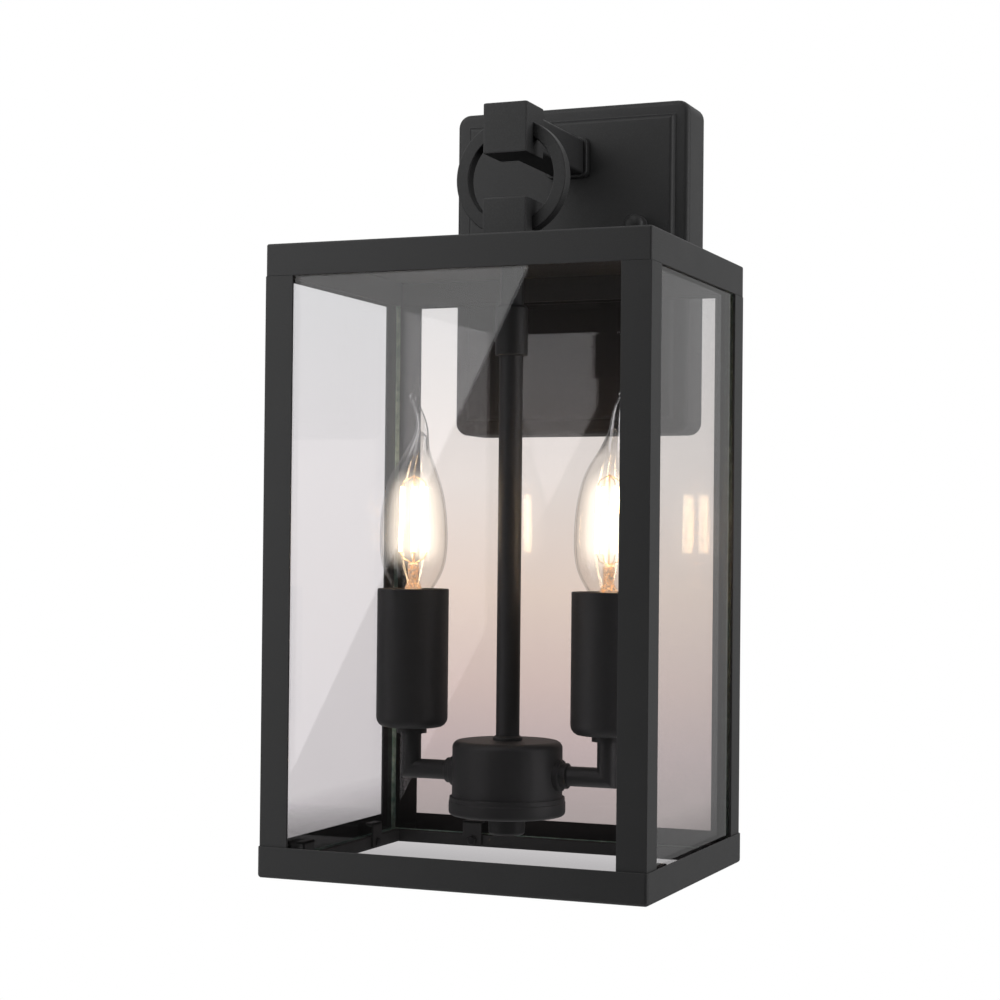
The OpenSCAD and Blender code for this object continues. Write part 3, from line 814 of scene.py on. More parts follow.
def _close_rows(points: list[Point2], closed: bool, threads: Sequence[Thread]) -> list[Point2]:
    """Adds rows to an outline where a thread runs along it.

    Args:
        points: the outline.
        closed: whether it joins up.
        threads: the threads.

    Returns:
        The outline with rows an eighth of a pitch apart along each thread.
    """
    out: list[Point2] = []
    for i, (r, h) in enumerate(points):
        out.append((r, h))
        if i == len(points) - 1 and not closed:
            break
        r2, h2 = points[(i + 1) % len(points)]
        for thread in threads:
            if abs(r2 - r) < 1e-6 and abs(h2 - h) > thread.pitch:
                count = int(abs(h2 - h) / thread.pitch * 8)
                out += [(r, h + (h2 - h) * k / count) for k in range(1, count)]
    return out


def framed(size: Point2, corner: float, outline: Sequence[Corner], closed: bool) -> bmesh.types.BMesh:
    """Like a lathe piece, but carried round a rounded rectangle.

    Args:
        size: the rectangle's width and depth.
        corner: its corner radius.
        outline: inset from the rectangle, height and fillet of each corner.
        closed: whether the outline is a ring, or starts and ends on a flat face.

    Returns:
        The mesh.
    """
    width, depth = size
    loops = []
    for inset, height in rounded(outline, closed):
        radius = min(max(corner - inset, 0.3), width / 2 - inset, depth / 2 - inset)
        loops.append(rect_loop(width - 2 * inset, depth - 2 * inset, radius, height))
    return skinned(loops, closed)


def prism(outline: Sequence[Point2], low: float, high: float, edge: float) -> bmesh.types.BMesh:
    """An extruded outline with every edge eased.

    Args:
        outline: its corners, in X and Y.
        low: where it starts in Z.
        high: where it ends.
        edge: how wide the eased edges are.

    Returns:
        The mesh.
    """
    mesh = skinned([[Vector((x, y, z)) for x, y in outline] for z in (low, high)], False)
    bmesh.ops.bevel(
        mesh, geom=list(mesh.edges), offset=edge, segments=2, profile=0.6, affect="EDGES", clamp_overlap=True
    )
    return mesh


def settle_normals(data: bpy.types.Mesh) -> None:
    """Weights each corner's normal by the area of the faces it smooths into, so that wide flats stay flat.

    Args:
        data: the mesh.
    """
    normals = [face.normal.copy() for face in data.polygons]
    areas = [face.area for face in data.polygons]
    around: list[list[int]] = [[] for _ in data.vertices]
    for face in data.polygons:
        for vertex in face.vertices:
            around[vertex].append(face.index)
    limit = math.cos(SMOOTH_ANGLE)
    corners = []
    for face in data.polygons:
        own = normals[face.index]
        for vertex in face.vertices:
            total = own * 1e-12
            for other in around[vertex]:
                if own.dot(normals[other]) > limit:
                    total += normals[other] * areas[other]
            corners.append(total.normalized())
    data.normals_split_custom_set(corners)


@dataclass
class Workshop:
    """Where pieces are finished: it holds the two frames, the finishes and the list of what was made."""

    axis_y: float
    floor_z: float
    finishes: dict[Slot, bpy.types.Material]
    made: list[bpy.types.Object] = field(default_factory=list)

    @property
    def lantern(self) -> Matrix:
        """From millimetres in the lantern's frame to metres in the shared frame."""
        return Matrix.Translation((0, self.axis_y, self.floor_z)) @ Matrix.Scale(MM, 4)

    @property
    def wall(self) -> Matrix:
        """From millimetres in the wall plate's frame to metres in the shared frame."""
        return Matrix.Scale(MM, 4)

    def piece(
        self,
        name: str,
        mesh: bmesh.types.BMesh,
        place: Matrix,
        slot: Slot,
        body: str,
        replaces: Sequence[str] = (),
        materials: Sequence[bpy.types.Material] = (),
    ) -> bpy.types.Object:
        """Turns a bmesh into a finished piece.

        Args:
            name: the piece's name.
            mesh: its shape, in millimetres.
            place: from its own millimetres to shared metres.
            slot: the finish it takes.
            body: the rigid body it rides on.
            replaces: the CAD nodes it stands for.
            materials: its materials, where they aren't just the slot's own.

        Returns:
            The object.
        """
        data = bpy.data.meshes.new(name)
        mesh.transform(place)
        if place.determinant() < 0:
            bmesh.ops.reverse_faces(mesh, faces=mesh.faces)
        mesh.to_mesh(data)
        mesh.free()
        return self.finish(name, data, slot, body, replaces, materials)

    def finish(
        self,
        name: str,
        data: bpy.types.Mesh,
        slot: Slot,
        body: str,
        replaces: Sequence[str] = (),
        materials: Sequence[bpy.types.Material] = (),
    ) -> bpy.types.Object:
        """Dresses a mesh that is already in place, and rides it.

        Args:
            name: the piece's name.
            data: its mesh, in metres.
            slot: the finish it takes.
            body: the rigid body it rides on.
            replaces: the CAD nodes it stands for.
            materials: its materials, where they aren't just the slot's own.

        Returns:
            The object.
        """
        indices = [face.material_index for face in data.polygons]
        data.materials.clear()
        for material in materials or (self.finishes[slot],):
            data.materials.append(material)
        data.polygons.foreach_set("material_index", indices)
        data.shade_smooth()
        settle_normals(data)
        obj = bpy.data.objects.new(name, data)
        bpy.context.scene.collection.objects.link(obj)
        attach(obj, body)
        if replaces:
            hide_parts(*replaces)
        self.made.append(obj)
        LOG.info("%s: %d faces on %s", name, len(data.polygons), body)
        return obj

    def dress(self, node: bpy.types.Object, slot: Slot) -> None:
        """Gives a CAD node its finish."""
        node.data.materials.clear()
        node.data.materials.append(self.finishes[slot])


# ---------------------------------------------------------------------------------------------------------
# geometry nodes


class Rule:
    """A Geometry Nodes tree built in the script, run once on a plain mesh or curve."""

    def __init__(self, name: str) -> None:
        """Starts a tree with a geometry input and output.

        Args:
            name: the tree's name.
        """
        self.tree = bpy.data.node_groups.new(name, "GeometryNodeTree")
        self.tree.interface.new_socket("Geometry", in_out="INPUT", socket_type="NodeSocketGeometry")
        self.tree.interface.new_socket("Geometry", in_out="OUTPUT", socket_type="NodeSocketGeometry")
        self.entry = self.tree.nodes.new("NodeGroupInput")
        self.keys: dict[str, str] = {}

    def given(self, name: str, kind: str) -> bpy.types.NodeSocket:
        """Adds a named input to the tree.

        Args:
            name: the input's name.
            kind: its type, such as Float or Object.

        Returns:
            The socket to link from.
        """
        item = self.tree.interface.new_socket(name, in_out="INPUT", socket_type="NodeSocket" + kind)
        self.keys[name] = item.identifier
        return self.entry.outputs[name]

    def node(self, kind: str, settings: dict[str, Any], inputs: dict[Any, Any]) -> bpy.types.Node:
        """Adds a node.

        Args:
            kind: the node's type, without its prefix where it is a geometry node.
            settings: its properties.
            inputs: its inputs: values, or sockets to link.

        Returns:
            The node.
        """
        node = self.tree.nodes.new(kind if "Node" in kind else "GeometryNode" + kind)
        for key, setting in settings.items():
            setattr(node, key, setting)
        for key, given in inputs.items():
            if isinstance(given, bpy.types.NodeSocket):
                self.tree.links.new(given, node.inputs[key])
            else:
                node.inputs[key].default_value = given
        return node

    def close(self, geometry: bpy.types.NodeSocket) -> None:
        """Ends the tree in Realize Instances and Set Material.

        Args:
            geometry: what it makes.
        """
        finish = self.given("Finish", "Material")
        real = self.node("RealizeInstances", {}, {0: geometry}).outputs[0]
        dressed = self.node("SetMaterial", {}, {"Geometry": real, "Material": finish}).outputs[0]
        out = self.tree.nodes.new("NodeGroupOutput")
        self.tree.links.new(dressed, out.inputs[0])

    def run(self, base: bpy.types.Object, values: dict[str, Any]) -> bpy.types.Mesh:
        """Runs the tree on an object and removes that object.

        Args:
            base: what the modifier stands on.
            values: the named inputs.

        Returns:
            The plain mesh that comes out.
        """
        modifier = base.modifiers.new("rule", "NODES")
        modifier.node_group = self.tree
        for name, value in values.items():
            modifier[self.keys[name]] = value
        seen = base.evaluated_get(bpy.context.evaluated_depsgraph_get())
        data = bpy.data.meshes.new_from_object(seen)
        base.modifiers.remove(modifier)
        bpy.data.objects.remove(base)
        return data


def scratch(name: str, data: bpy.types.ID) -> bpy.types.Object:
    """Puts new data into the scene as an object.

    Args:
        name: the object's name.
        data: its mesh.

    Returns:
        The object.
    """
    obj = bpy.data.objects.new(name, data)
    bpy.context.scene.collection.objects.link(obj)
    return obj


def repeat_rule() -> Rule:
    """Sets a template on every point of a mesh, turned by the point's own "turn".

    Returns:
        The rule.
    """
    rule = Rule("repeat on points")
    template = rule.given("Template", "Object")
    source = rule.node("ObjectInfo", {"transform_space": "ORIGINAL"}, {"Object": template})
    turn = rule.node("InputNamedAttribute", {"data_type": "FLOAT_VECTOR"}, {"Name": "turn"})
    inputs = {
        "Points": rule.entry.outputs["Geometry"],
        "Instance": source.outputs["Geometry"],
        "Rotation": turn.outputs["Attribute"],
    }
    rule.close(rule.node("InstanceOnPoints", {}, inputs).outputs[0])
    return rule


def sweep_rule() -> Rule:
    """Carries a round section along a polyline, with its corners bent to a radius.

    Returns:
        The rule.
    """
    rule = Rule("round section along a path")
    radius = rule.given("Radius", "Float")
    bend = rule.given("Bend", "Float")
    sides = rule.given("Sides", "Int")
    path = rule.node("MeshToCurve", {}, {0: rule.entry.outputs["Geometry"]}).outputs[0]
    inputs = {"Curve": path, "Count": 8, "Radius": bend, "Limit Radius": True}
    path = rule.node("FilletCurve", {"mode": "POLY"}, inputs).outputs[0]
    ring = rule.node("CurvePrimitiveCircle", {}, {"Resolution": sides, "Radius": radius}).outputs[0]
    inputs = {"Curve": path, "Profile Curve": ring, "Fill Caps": True}
    rule.close(rule.node("CurveToMesh", {}, inputs).outputs[0])
    return rule


def ring_rule() -> Rule:
    """Bends a square bar with eased edges round a circle.

    Returns:
        The rule.
    """
    rule = Rule("square bar round a circle")
    radius = rule.given("Radius", "Float")
    width = rule.given("Width", "Float")
    depth = rule.given("Depth", "Float")
    edge = rule.given("Edge", "Float")
    path = rule.node("CurvePrimitiveCircle", {}, {"Resolution": 160, "Radius": radius}).outputs[0]
    section = rule.node("CurvePrimitiveQuadrilateral", {}, {"Width": width, "Height": depth}).outputs[0]
    inputs = {"Curve": section, "Count": 4, "Radius": edge, "Limit Radius": True}
    section = rule.node("FilletCurve", {"mode": "POLY"}, inputs).outputs[0]
    rule.close(rule.node("CurveToMesh", {}, {"Curve": path, "Profile Curve": section}).outputs[0])
    return rule


@dataclass
class Repeater:
    """Makes many copies of one small part with the repeat rule, and wires with the sweep rule."""

    rule: Rule = field(default_factory=repeat_rule)
    sweep: Rule = field(default_factory=sweep_rule)

    def copies(
        self, template: bmesh.types.BMesh, places: Sequence[tuple[Vector, Vector]], finish: bpy.types.Material
    ) -> bpy.types.Mesh:
        """Copies of a template.

        Args:
            template: the part, in metres, at the origin.
            places: where each copy goes, and its turn as Euler angles.
            finish: its material.

        Returns:
            One mesh of them all.
        """
        part = bpy.data.meshes.new("template")
        template.to_mesh(part)
        template.free()
        pattern = scratch("template", part)
        points = bpy.data.meshes.new("places")
        points.from_pydata([p for p, _ in places], [], [])
        turn = points.attributes.new("turn", "FLOAT_VECTOR", "POINT")
        turn.data.foreach_set("vector", [c for _, t in places for c in t])
        data = self.rule.run(scratch("places", points), {"Template": pattern, "Finish": finish})
        bpy.data.objects.remove(pattern)
        return data

    def wire(
        self, points: Sequence[Vector], radius: float, bend: float, finish: bpy.types.Material
    ) -> bpy.types.Mesh:
        """A fine wire along a path.

        Args:
            points: the path's corners, in metres.
            radius: of the wire.
            bend: radius of each bend.
            finish: its material.

        Returns:
            The mesh.
        """
        line = bpy.data.meshes.new("path")
        line.from_pydata([tuple(p) for p in points], [(i, i + 1) for i in range(len(points) - 1)], [])
        values = {"Radius": radius, "Bend": bend, "Sides": 8, "Finish": finish}
        return self.sweep.run(scratch("path", line), values)


def joined(meshes: Iterable[bpy.types.Mesh]) -> bmesh.types.BMesh:
    """Puts several meshes together, each with its own material index kept in order.

    Args:
        meshes: the meshes. Faces of the first get index 0, of the second 1, and so on.

    Returns:
        One mesh.
    """
    whole = bmesh.new()
    for index, data in enumerate(meshes):
        start = len(whole.faces)
        whole.from_mesh(data)
        whole.faces.ensure_lookup_table()
        for face in whole.faces[start:]:
            face.material_index = index
    return whole


def merged(parts: Iterable[bmesh.types.BMesh]) -> bmesh.types.BMesh:
    """Puts several bmeshes together and frees them.

    Args:
        parts: the meshes.

    Returns:
        One mesh.
    """
    whole = bmesh.new()
    for part in parts:
        data = bpy.data.meshes.new("part")
        part.to_mesh(data)
        part.free()
        whole.from_mesh(data)
        bpy.data.meshes.remove(data)
    return whole


# ---------------------------------------------------------------------------------------------------------
# sub-assemblies


@dataclass
class WallPlate:
    """The deep pan on the wall with its raised panel, gasket, studs and cap nuts."""

    shop: Workshop
    width: float = 135.0
    height: float = 179.0
    depth: float = 29.0
    rise: float = 3.0
    border: float = 9.0
    corner: float = 7.0
    sheet: float = 1.5
    flat_in: float = 6.0
    gasket_width: float = 5.0
    gasket_sheet: float = 2.0
    stud_x: float = 40.0
    stud_z: float = 22.0
    stud_radius: float = 2.0
    stud_reach: float = 6.5
    washer_radius: float = 5.5
    washer_sheet: float = 1.2
    nut_radius: float = 5.4
    nut_length: float = 9.0
    dome: float = 3.2
    forward: Matrix = field(default_factory=lambda: Matrix.Rotation(math.radians(90), 4, "X"))

    def build(self) -> None:
        """Makes the plate and what is on it."""
        self.pan()
        self.gasket()
        self.studs()
        for side in Side:
            self.washer(side)
            self.cap_nut(side)

    @property
    def front(self) -> float:
        """How far the raised panel's face stands from the wall."""
        return self.depth + self.rise

    def at_stud(self, side: Side) -> Matrix:
        """From millimetres round a stud's axis, counted out from the wall, to shared metres."""
        return self.shop.wall @ Matrix.Translation((side.value * self.stud_x, 0, self.stud_z)) @ self.forward

    def pan(self) -> None:
        """The plate: one pressed sheet with a flanged border and a raised panel."""
        front, back = self.front, self.gasket_sheet
        t, b = self.sheet, self.border
        inner = min(self.width, self.height) / 2 - self.flat_in
        outline = [
            (inner, front - t, 0),
            (b + t, front - t, 2.0),
            (b + t, self.depth - t, 1.5),
            (t, self.depth - t, 2.2),
            (t, back, 0),
            (0, back, 0.4),
            (0, self.depth, 3.2),
            (b - 1.2, self.depth, 1.2),
            (b, front, 2.2),
            (inner, front, 0),
        ]
        mesh = framed((self.width, self.height), self.corner, outline, False)
        place = self.shop.wall @ self.forward
        self.shop.piece("wall_plate_pan", mesh, place, Slot.COAT, Body.LANTERN, ["wall_plate"])

    def gasket(self) -> None:
        """The foam strip behind the plate's rim."""
        across, thick = self.gasket_width, self.gasket_sheet
        outline = [(0, 0, 0.3), (0, thick, 0.3), (across, thick, 0.3), (across, 0, 0.3)]
        mesh = framed((self.width - 2, self.height - 2), self.corner - 1, outline, True)
        place = self.shop.wall @ self.forward
        self.shop.piece("wall_gasket_foam", mesh, place, Slot.FOAM, Body.LANTERN, ["wall_gasket"])

    def studs(self) -> None:
        """The two threaded studs through the strap."""
        length, r = self.front + self.stud_reach, self.stud_radius
        outline = [(0, 0, 0), (r, 0, 0.3), (r, length, 0.5), (0, length, 0)]
        thread = Thread(pitch=0.7, depth=0.3, start=2.0, end=length - 0.3)
        parts = []
        for side in Side:
            stud = turned(outline, False, 24, [thread])
            # a hair off the wall, so that the stud's end doesn't lie in the wall's plane
            stud.transform(Matrix.Translation((side.value * self.stud_x, -0.01, self.stud_z)) @ self.forward)
            parts.append(stud)
        mesh, place = merged(parts), self.shop.wall
        self.shop.piece("strap_studs_threaded", mesh, place, Slot.ZINC, Body.LANTERN, ["strap_studs"])

    def washer(self, side: Side) -> None:
        """The sealing washer under a cap nut.

        Args:
            side: which of the two.
        """
        low, high = self.front, self.front + self.washer_sheet
        bore, r = self.stud_radius + 0.3, self.washer_radius
        mesh = turned([(bore, low, 0.2), (r, low, 0.3), (r, high, 0.4), (bore, high, 0.2)], True, 48)
        node, body = f"cap_washer_{side.word}", f"cap_nut_{side.word}_feed"
        self.shop.piece(f"{node}_seal", mesh, self.at_stud(side), Slot.FOAM, body, [node])

    def cap_nut(self, side: Side) -> None:
        """A domed cap nut with a blind bore.

        Args:
            side: which of the two.
        """
        foot = self.front + self.washer_sheet
        top = foot + self.nut_length
        r, bore, dome = self.nut_radius, self.stud_radius + 0.1, self.dome
        angles = [math.pi / 2 * i / 8 for i in range(8)]
        outline = [
            (0, foot + 6.3, 0),
            (bore, foot + 6.0, 0),
            (bore, foot, 0.2),
            (r - 0.4, foot, 0.2),
            (r, foot + 0.5, 0.3),
            *((r * math.cos(a), top - dome + dome * math.sin(a), 0) for a in angles),
            (0, top, 0),
        ]
        mesh = turned(outline, False, 64)
        node = f"cap_nut_{side.word}"
        self.shop.piece(f"{node}_dome", mesh, self.at_stud(side), Slot.COAT, f"{node}_turns", [node])


@dataclass
class Hanger:
    """The arm's end block, the ring that hangs from it, and the block on the roof."""

    shop: Workshop
    ring_z: float = 351.5
    ring_od: float = 60.0
    band: float = 6.8
    depth: float = 7.0
    ring_edge: float = 0.7
    block: float = 24.0
    block_edge: float = 1.2
    upper_z: tuple[float, float] = (362.5, 388.5)
    lower_z: tuple[float, float] = (312.0, 340.3)
    plate_front: float = 32.0
    collar_size: Point2 = (24.0, 22.5)
    collar_corner: float = 4.0
    collar_z: float = 60.5
    collar_high: float = 4.5
    forward: Matrix = field(default_factory=lambda: Matrix.Rotation(math.radians(90), 4, "X"))

    def build(self) -> None:
        """Makes the ring and both blocks."""
        self.ring()
        half = self.block / 2
        square = [(half, half), (-half, half), (-half, -half), (half, -half)]
        for name, (low, high) in (("upper_block", self.upper_z), ("lower_block", self.lower_z)):
            mesh = prism(square, low, high, self.block_edge)
            self.shop.piece(f"{name}_cast", mesh, self.shop.lantern, Slot.COAT, Body.LANTERN, [name])
        self.collar()

    def ring(self) -> None:
        """The hanging ring, bent by rule."""
        rule = ring_rule()
        base = scratch("ring", bpy.data.meshes.new("ring"))
        values = {
            "Radius": (self.ring_od - self.band) / 2 * MM,
            "Width": self.band * MM,
            "Depth": self.depth * MM,
            "Edge": self.ring_edge * MM,
            "Finish": self.shop.finishes[Slot.COAT],
        }
        data = rule.run(base, values)
        centre = Matrix.Translation((0, self.shop.axis_y, self.shop.floor_z + self.ring_z * MM))
        data.transform(centre @ self.forward)
        mesh = joined([data])
        bmesh.ops.recalc_face_normals(mesh, faces=mesh.faces)
        self.shop.piece("ring_bent", mesh, Matrix.Identity(4), Slot.COAT, Body.LANTERN, ["ring"])

    def collar(self) -> None:
        """The flange where the arm meets the plate."""
        low, high = self.plate_front, self.plate_front + self.collar_high
        outline = [(2.0, low, 0), (0, low, 0.2), (0, high, 1.6), (1.9, high, 0.3), (2.0, high - 1.0, 0)]
        mesh = framed(self.collar_size, self.collar_corner, outline, True)
        place = self.shop.wall @ Matrix.Translation((0, 0, self.collar_z)) @ self.forward
        self.shop.piece("arm_collar_flange", mesh, place, Slot.COAT, Body.LANTERN, ["arm_collar"])


@dataclass
class Housing:
    """The lantern's body: roof, corner angles, base frame, panes and the clips that hold them."""

    shop: Workshop
    repeater: Repeater
    width: float = 200.0
    depth: float = 154.0
    height: float = 312.0
    band: float = 16.0
    sheet: float = 1.2
    leg: float = 15.0
    roof_sheet: float = 2.0
    base_band: float = 15.4
    base_grow: float = 0.9
    base_sheet: float = 0.85
    ledge: float = 6.4
    ledge_in: float = 7.5
    glass: float = 2.5
    pane_gap: float = 0.2
    pane_top: float = 304.0
    channel_sheet: float = 1.0
    clip_width: float = 11.0
    clip_sheet: float = 1.2
    clip_z: tuple[float, float] = (1.0, 14.0)
    screw_z: float = 3.4
    screw_radius: float = 1.25
    head_radius: float = 2.5
    clip_x: float = 48.0
    clip_y: float = 40.0

    def build(self) -> None:
        """Makes every piece of the body."""
        self.roof()
        for front in (FRONT, BACK):
            for side in Side:
                self.post(side, front)
        self.base()
        self.panes()
        self.channel()
        self.clips()

    def roof(self) -> None:
        """The roof and its band, folded from one sheet with a soft top edge."""
        t = self.sheet
        low, roof = self.height - self.band, self.height - self.roof_sheet
        middle = self.depth / 2 - 8
        outline = [
            (middle, roof, 0),
            (t, roof, 0.3),
            (t, low, 0.15),
            (0, low, 0.25),
            (0, self.height, 1.0),
            (middle, self.height, 0),
        ]
        mesh = framed((self.width, self.depth), 1.3, outline, False)
        self.shop.piece("top_cap_folded", mesh, self.shop.lantern, Slot.COAT, Body.LANTERN, ["top_cap"])

    def post(self, side: Side, front: int) -> None:
        """One corner angle.

        Args:
            side: which side it stands on.
            front: FRONT or BACK.
        """
        x, y = self.width / 2, self.depth / 2
        t, leg = self.sheet, self.leg
        corners = [(x, y), (x - leg, y), (x - leg, y - t), (x - t, y - t), (x - t, y - leg), (x, y - leg)]
        outline = [(side.value * a, front * b) for a, b in corners]
        mesh = prism(outline, self.ledge, self.height - self.band, 0.28)
        word = "front" if front == FRONT else "back"
        node = f"post_{word}_{side.word}"
        self.shop.piece(f"{node}_angle", mesh, self.shop.lantern, Slot.COAT, Body.LANTERN, [node])

    def base(self) -> None:
        """The base frame: a band with a ledge turned in at its foot."""
        grow, wall = self.base_grow, self.base_sheet
        lip = self.ledge_in + grow
        outline = [
            (0, 0, 1.7),
            (0, self.base_band, 0.3),
            (wall, self.base_band, 0.3),
            (wall, self.ledge, 0.2),
            (lip, self.ledge, 0.35),
            (lip, 0, 0.35),
        ]
        size = (self.width + 2 * grow, self.depth + 2 * grow)
        mesh = framed(size, 2.0, outline, True)
        self.shop.piece("base_frame_folded", mesh, self.shop.lantern, Slot.COAT, Body.LANTERN, ["base_frame"])

    def panes(self) -> None:
        """Four panes with clear faces and green ground edges."""
        clear = self.shop.finishes[Slot.PANE]
        # the back pane's tint carries the bulbs' painted glow
        warm = ClearPane("pane glass back", BULB_GLOW_AND_LOW_SHADE_TINT).build(self.shop.floor_z)
        edge = GlassEdge().build()
        front_y = self.depth / 2 - self.sheet - self.pane_gap
        side_x = self.width / 2 - self.sheet - self.pane_gap
        wide = 2 * side_x + self.pane_gap
        deep = 2 * (front_y - self.glass - self.pane_gap)
        thick = self.glass / 2
        spots = {
            "glass_front": (wide, 0.0, thick - front_y, 0, clear),
            "glass_back": (wide, 0.0, front_y - thick, 0, warm),
            "glass_left": (deep, thick - side_x, 0.0, 90, clear),
            "glass_right": (deep, side_x - thick, 0.0, 90, clear),
        }
        for node, (width, x, y, turn, flat) in spots.items():
            half = width / 2
            outline = [(half, thick), (-half, thick), (-half, -thick), (half, -thick)]
            mesh = prism(outline, self.ledge, self.pane_top, 0.35)
            mesh.normal_update()
            for face in mesh.faces:
                face.material_index = 0 if abs(face.normal.y) > 0.99 else 1
            spin = Matrix.Rotation(math.radians(turn), 4, "Z")
            place = self.shop.lantern @ Matrix.Translation((x, y, 0)) @ spin
            self.shop.piece(f"{node}_pane", mesh, place, Slot.PANE, Body.LANTERN, [node], [flat, edge])

    def channel(self) -> None:
        """The strip inside the roof band that keeps the panes' tops in."""
        low, high = self.height - self.band + 1, self.height - self.roof_sheet
        inset = self.sheet + self.pane_gap + self.glass + 0.3
        across = self.channel_sheet
        outline = [(0, low, 0.2), (0, high, 0), (across, high, 0), (across, low, 0.2)]
        mesh = framed((self.width - 2 * inset, self.depth - 2 * inset), 0.4, outline, True)
        place = self.shop.lantern
        self.shop.piece("glass_channel_strip", mesh, place, Slot.COAT, Body.LANTERN, ["glass_channel"])

    def clip_places(self) -> list[tuple[Vector, Vector]]:
        """Where each clip stands: two to a side, with their feet on the lip.

        Returns:
            The place of each, in shared metres, and its turn as Euler angles.
        """
        lip_x, lip_y = self.width / 2 - self.ledge_in, self.depth / 2 - self.ledge_in
        places = []
        for quarter, lip, spread in (
            (0, lip_y, self.clip_x),
            (2, lip_y, self.clip_x),
            (1, lip_x, self.clip_y),
            (3, lip_x, self.clip_y),
        ):
            angle = quarter * math.pi / 2
            for along in (-spread, spread):
                spot = Matrix.Rotation(angle, 4, "Z") @ Vector((along, lip, 0))
                places.append((self.shop.lantern @ spot, Vector((0, 0, angle))))
        return places

    def clip(self) -> bmesh.types.BMesh:
        """One pane clip, folded over the lip.

        Returns:
            The mesh, in millimetres, with its back on the lip's edge.
        """
        half, t = self.clip_width / 2, self.clip_sheet
        low, high = self.clip_z
        reach = self.ledge_in - self.sheet - self.pane_gap - self.glass - 0.05
        upright = prism([(half, 0), (-half, 0), (-half, -t), (half, -t)], low, high, 0.25)
        lip = prism([(half, reach), (-half, reach), (-half, -t), (half, -t)], high - 1.4, high, 0.25)
        return merged([upright, lip])

    def clip_screw(self) -> bmesh.types.BMesh:
        """One pan-head screw with its cross.

        Returns:
            The mesh, in millimetres, in its place on the clip.
        """
        r, big = self.screw_radius, self.head_radius
        outline = [
            (0, -1.6, 0),
            (big - 0.6, -1.6, 0.5),
            (big, -0.9, 0.4),
            (big, 0, 0.1),
            (r, 0, 0),
            (r, 5, 0.3),
            (0, 5, 0),
        ]
        cross = ((1.5, 0.28), (0.28, 1.5))
        bars = [prism([(a, b), (-a, b), (-a, -b), (a, -b)], -1.68, -1.2, 0.05) for a, b in cross]
        screw = merged([turned(outline, False, 24), *bars])
        inward = Matrix.Rotation(math.radians(-90), 4, "X")
        screw.transform(Matrix.Translation((0, -self.clip_sheet, self.screw_z)) @ inward)
        return screw

    def clips(self) -> None:
        """The pane clips and their screws, set round the lip by rule."""
        black = PlainMetal("black zinc", (0.035, 0.035, 0.036), (0.02, 0.02, 0.021), 0.42).build()
        coat = self.shop.finishes[Slot.COAT]
        places = self.clip_places()
        jobs = (
            ("glass_clips_folded", self.clip(), Slot.COAT, coat, "glass_clips"),
            ("clip_screws_pan_head", self.clip_screw(), Slot.ZINC, black, "clip_screws"),
        )
        for name, template, slot, finish, node in jobs:
            template.transform(Matrix.Scale(MM, 4))
            data = self.repeater.copies(template, places, finish)
            self.shop.finish(name, data, slot, Body.LANTERN, [node], [finish])


@dataclass
class Stem:
    """The rod from the roof to the hub."""

    shop: Workshop
    radius: float = 6.0
    bore: float = 3.5
    pipe: float = 4.9
    roof: float = 310.0
    coupler_z: tuple[float, float, float] = (261.0, 275.0, 286.5)
    coupler_radius: float = 8.25
    hub_top: float = 65.6
    collar_radius: float = 7.5
    collar_high: float = 2.4

    def build(self) -> None:
        """Makes the stem's four turned pieces."""
        low, step, high = self.coupler_z
        hub, foot = self.hub_top, self.hub_top + self.collar_high
        r, bore, pipe = self.radius, self.bore, self.pipe
        wide, collar, clear = self.coupler_radius, self.collar_radius, self.pipe + 0.05
        outlines = {
            "upper_stem": [
                (bore, step, 0.1),
                (pipe, step, 0.4),
                (pipe, high, 0),
                (r, high, 0.2),
                (r, self.roof, 0),
                (bore, self.roof, 0),
            ],
            "coupler": [
                (r + 0.05, low, 0.2),
                (wide, low, 0.7),
                (wide, high - 1.2, 0.9),
                (wide - 1.25, high, 0.5),
                (clear, high, 0.2),
                (clear, step, 0),
                (r + 0.05, step, 0),
            ],
            "stem": [
                (bore, hub - 9, 0.1),
                (pipe, hub - 9, 0.4),
                (pipe, foot, 0),
                (r, foot, 0.2),
                (r, step, 0.2),
                (bore, step, 0.1),
            ],
            "stem_collar": [
                (clear, hub, 0.1),
                (collar, hub, 0.3),
                (collar, foot - 1.0, 0.6),
                (collar - 1.1, foot, 0.3),
                (clear, foot, 0.1),
            ],
        }
        for node, outline in outlines.items():
            mesh = turned(outline, True, 72)
            self.shop.piece(f"{node}_turned", mesh, self.shop.lantern, Slot.COAT, Body.LANTERN, [node])


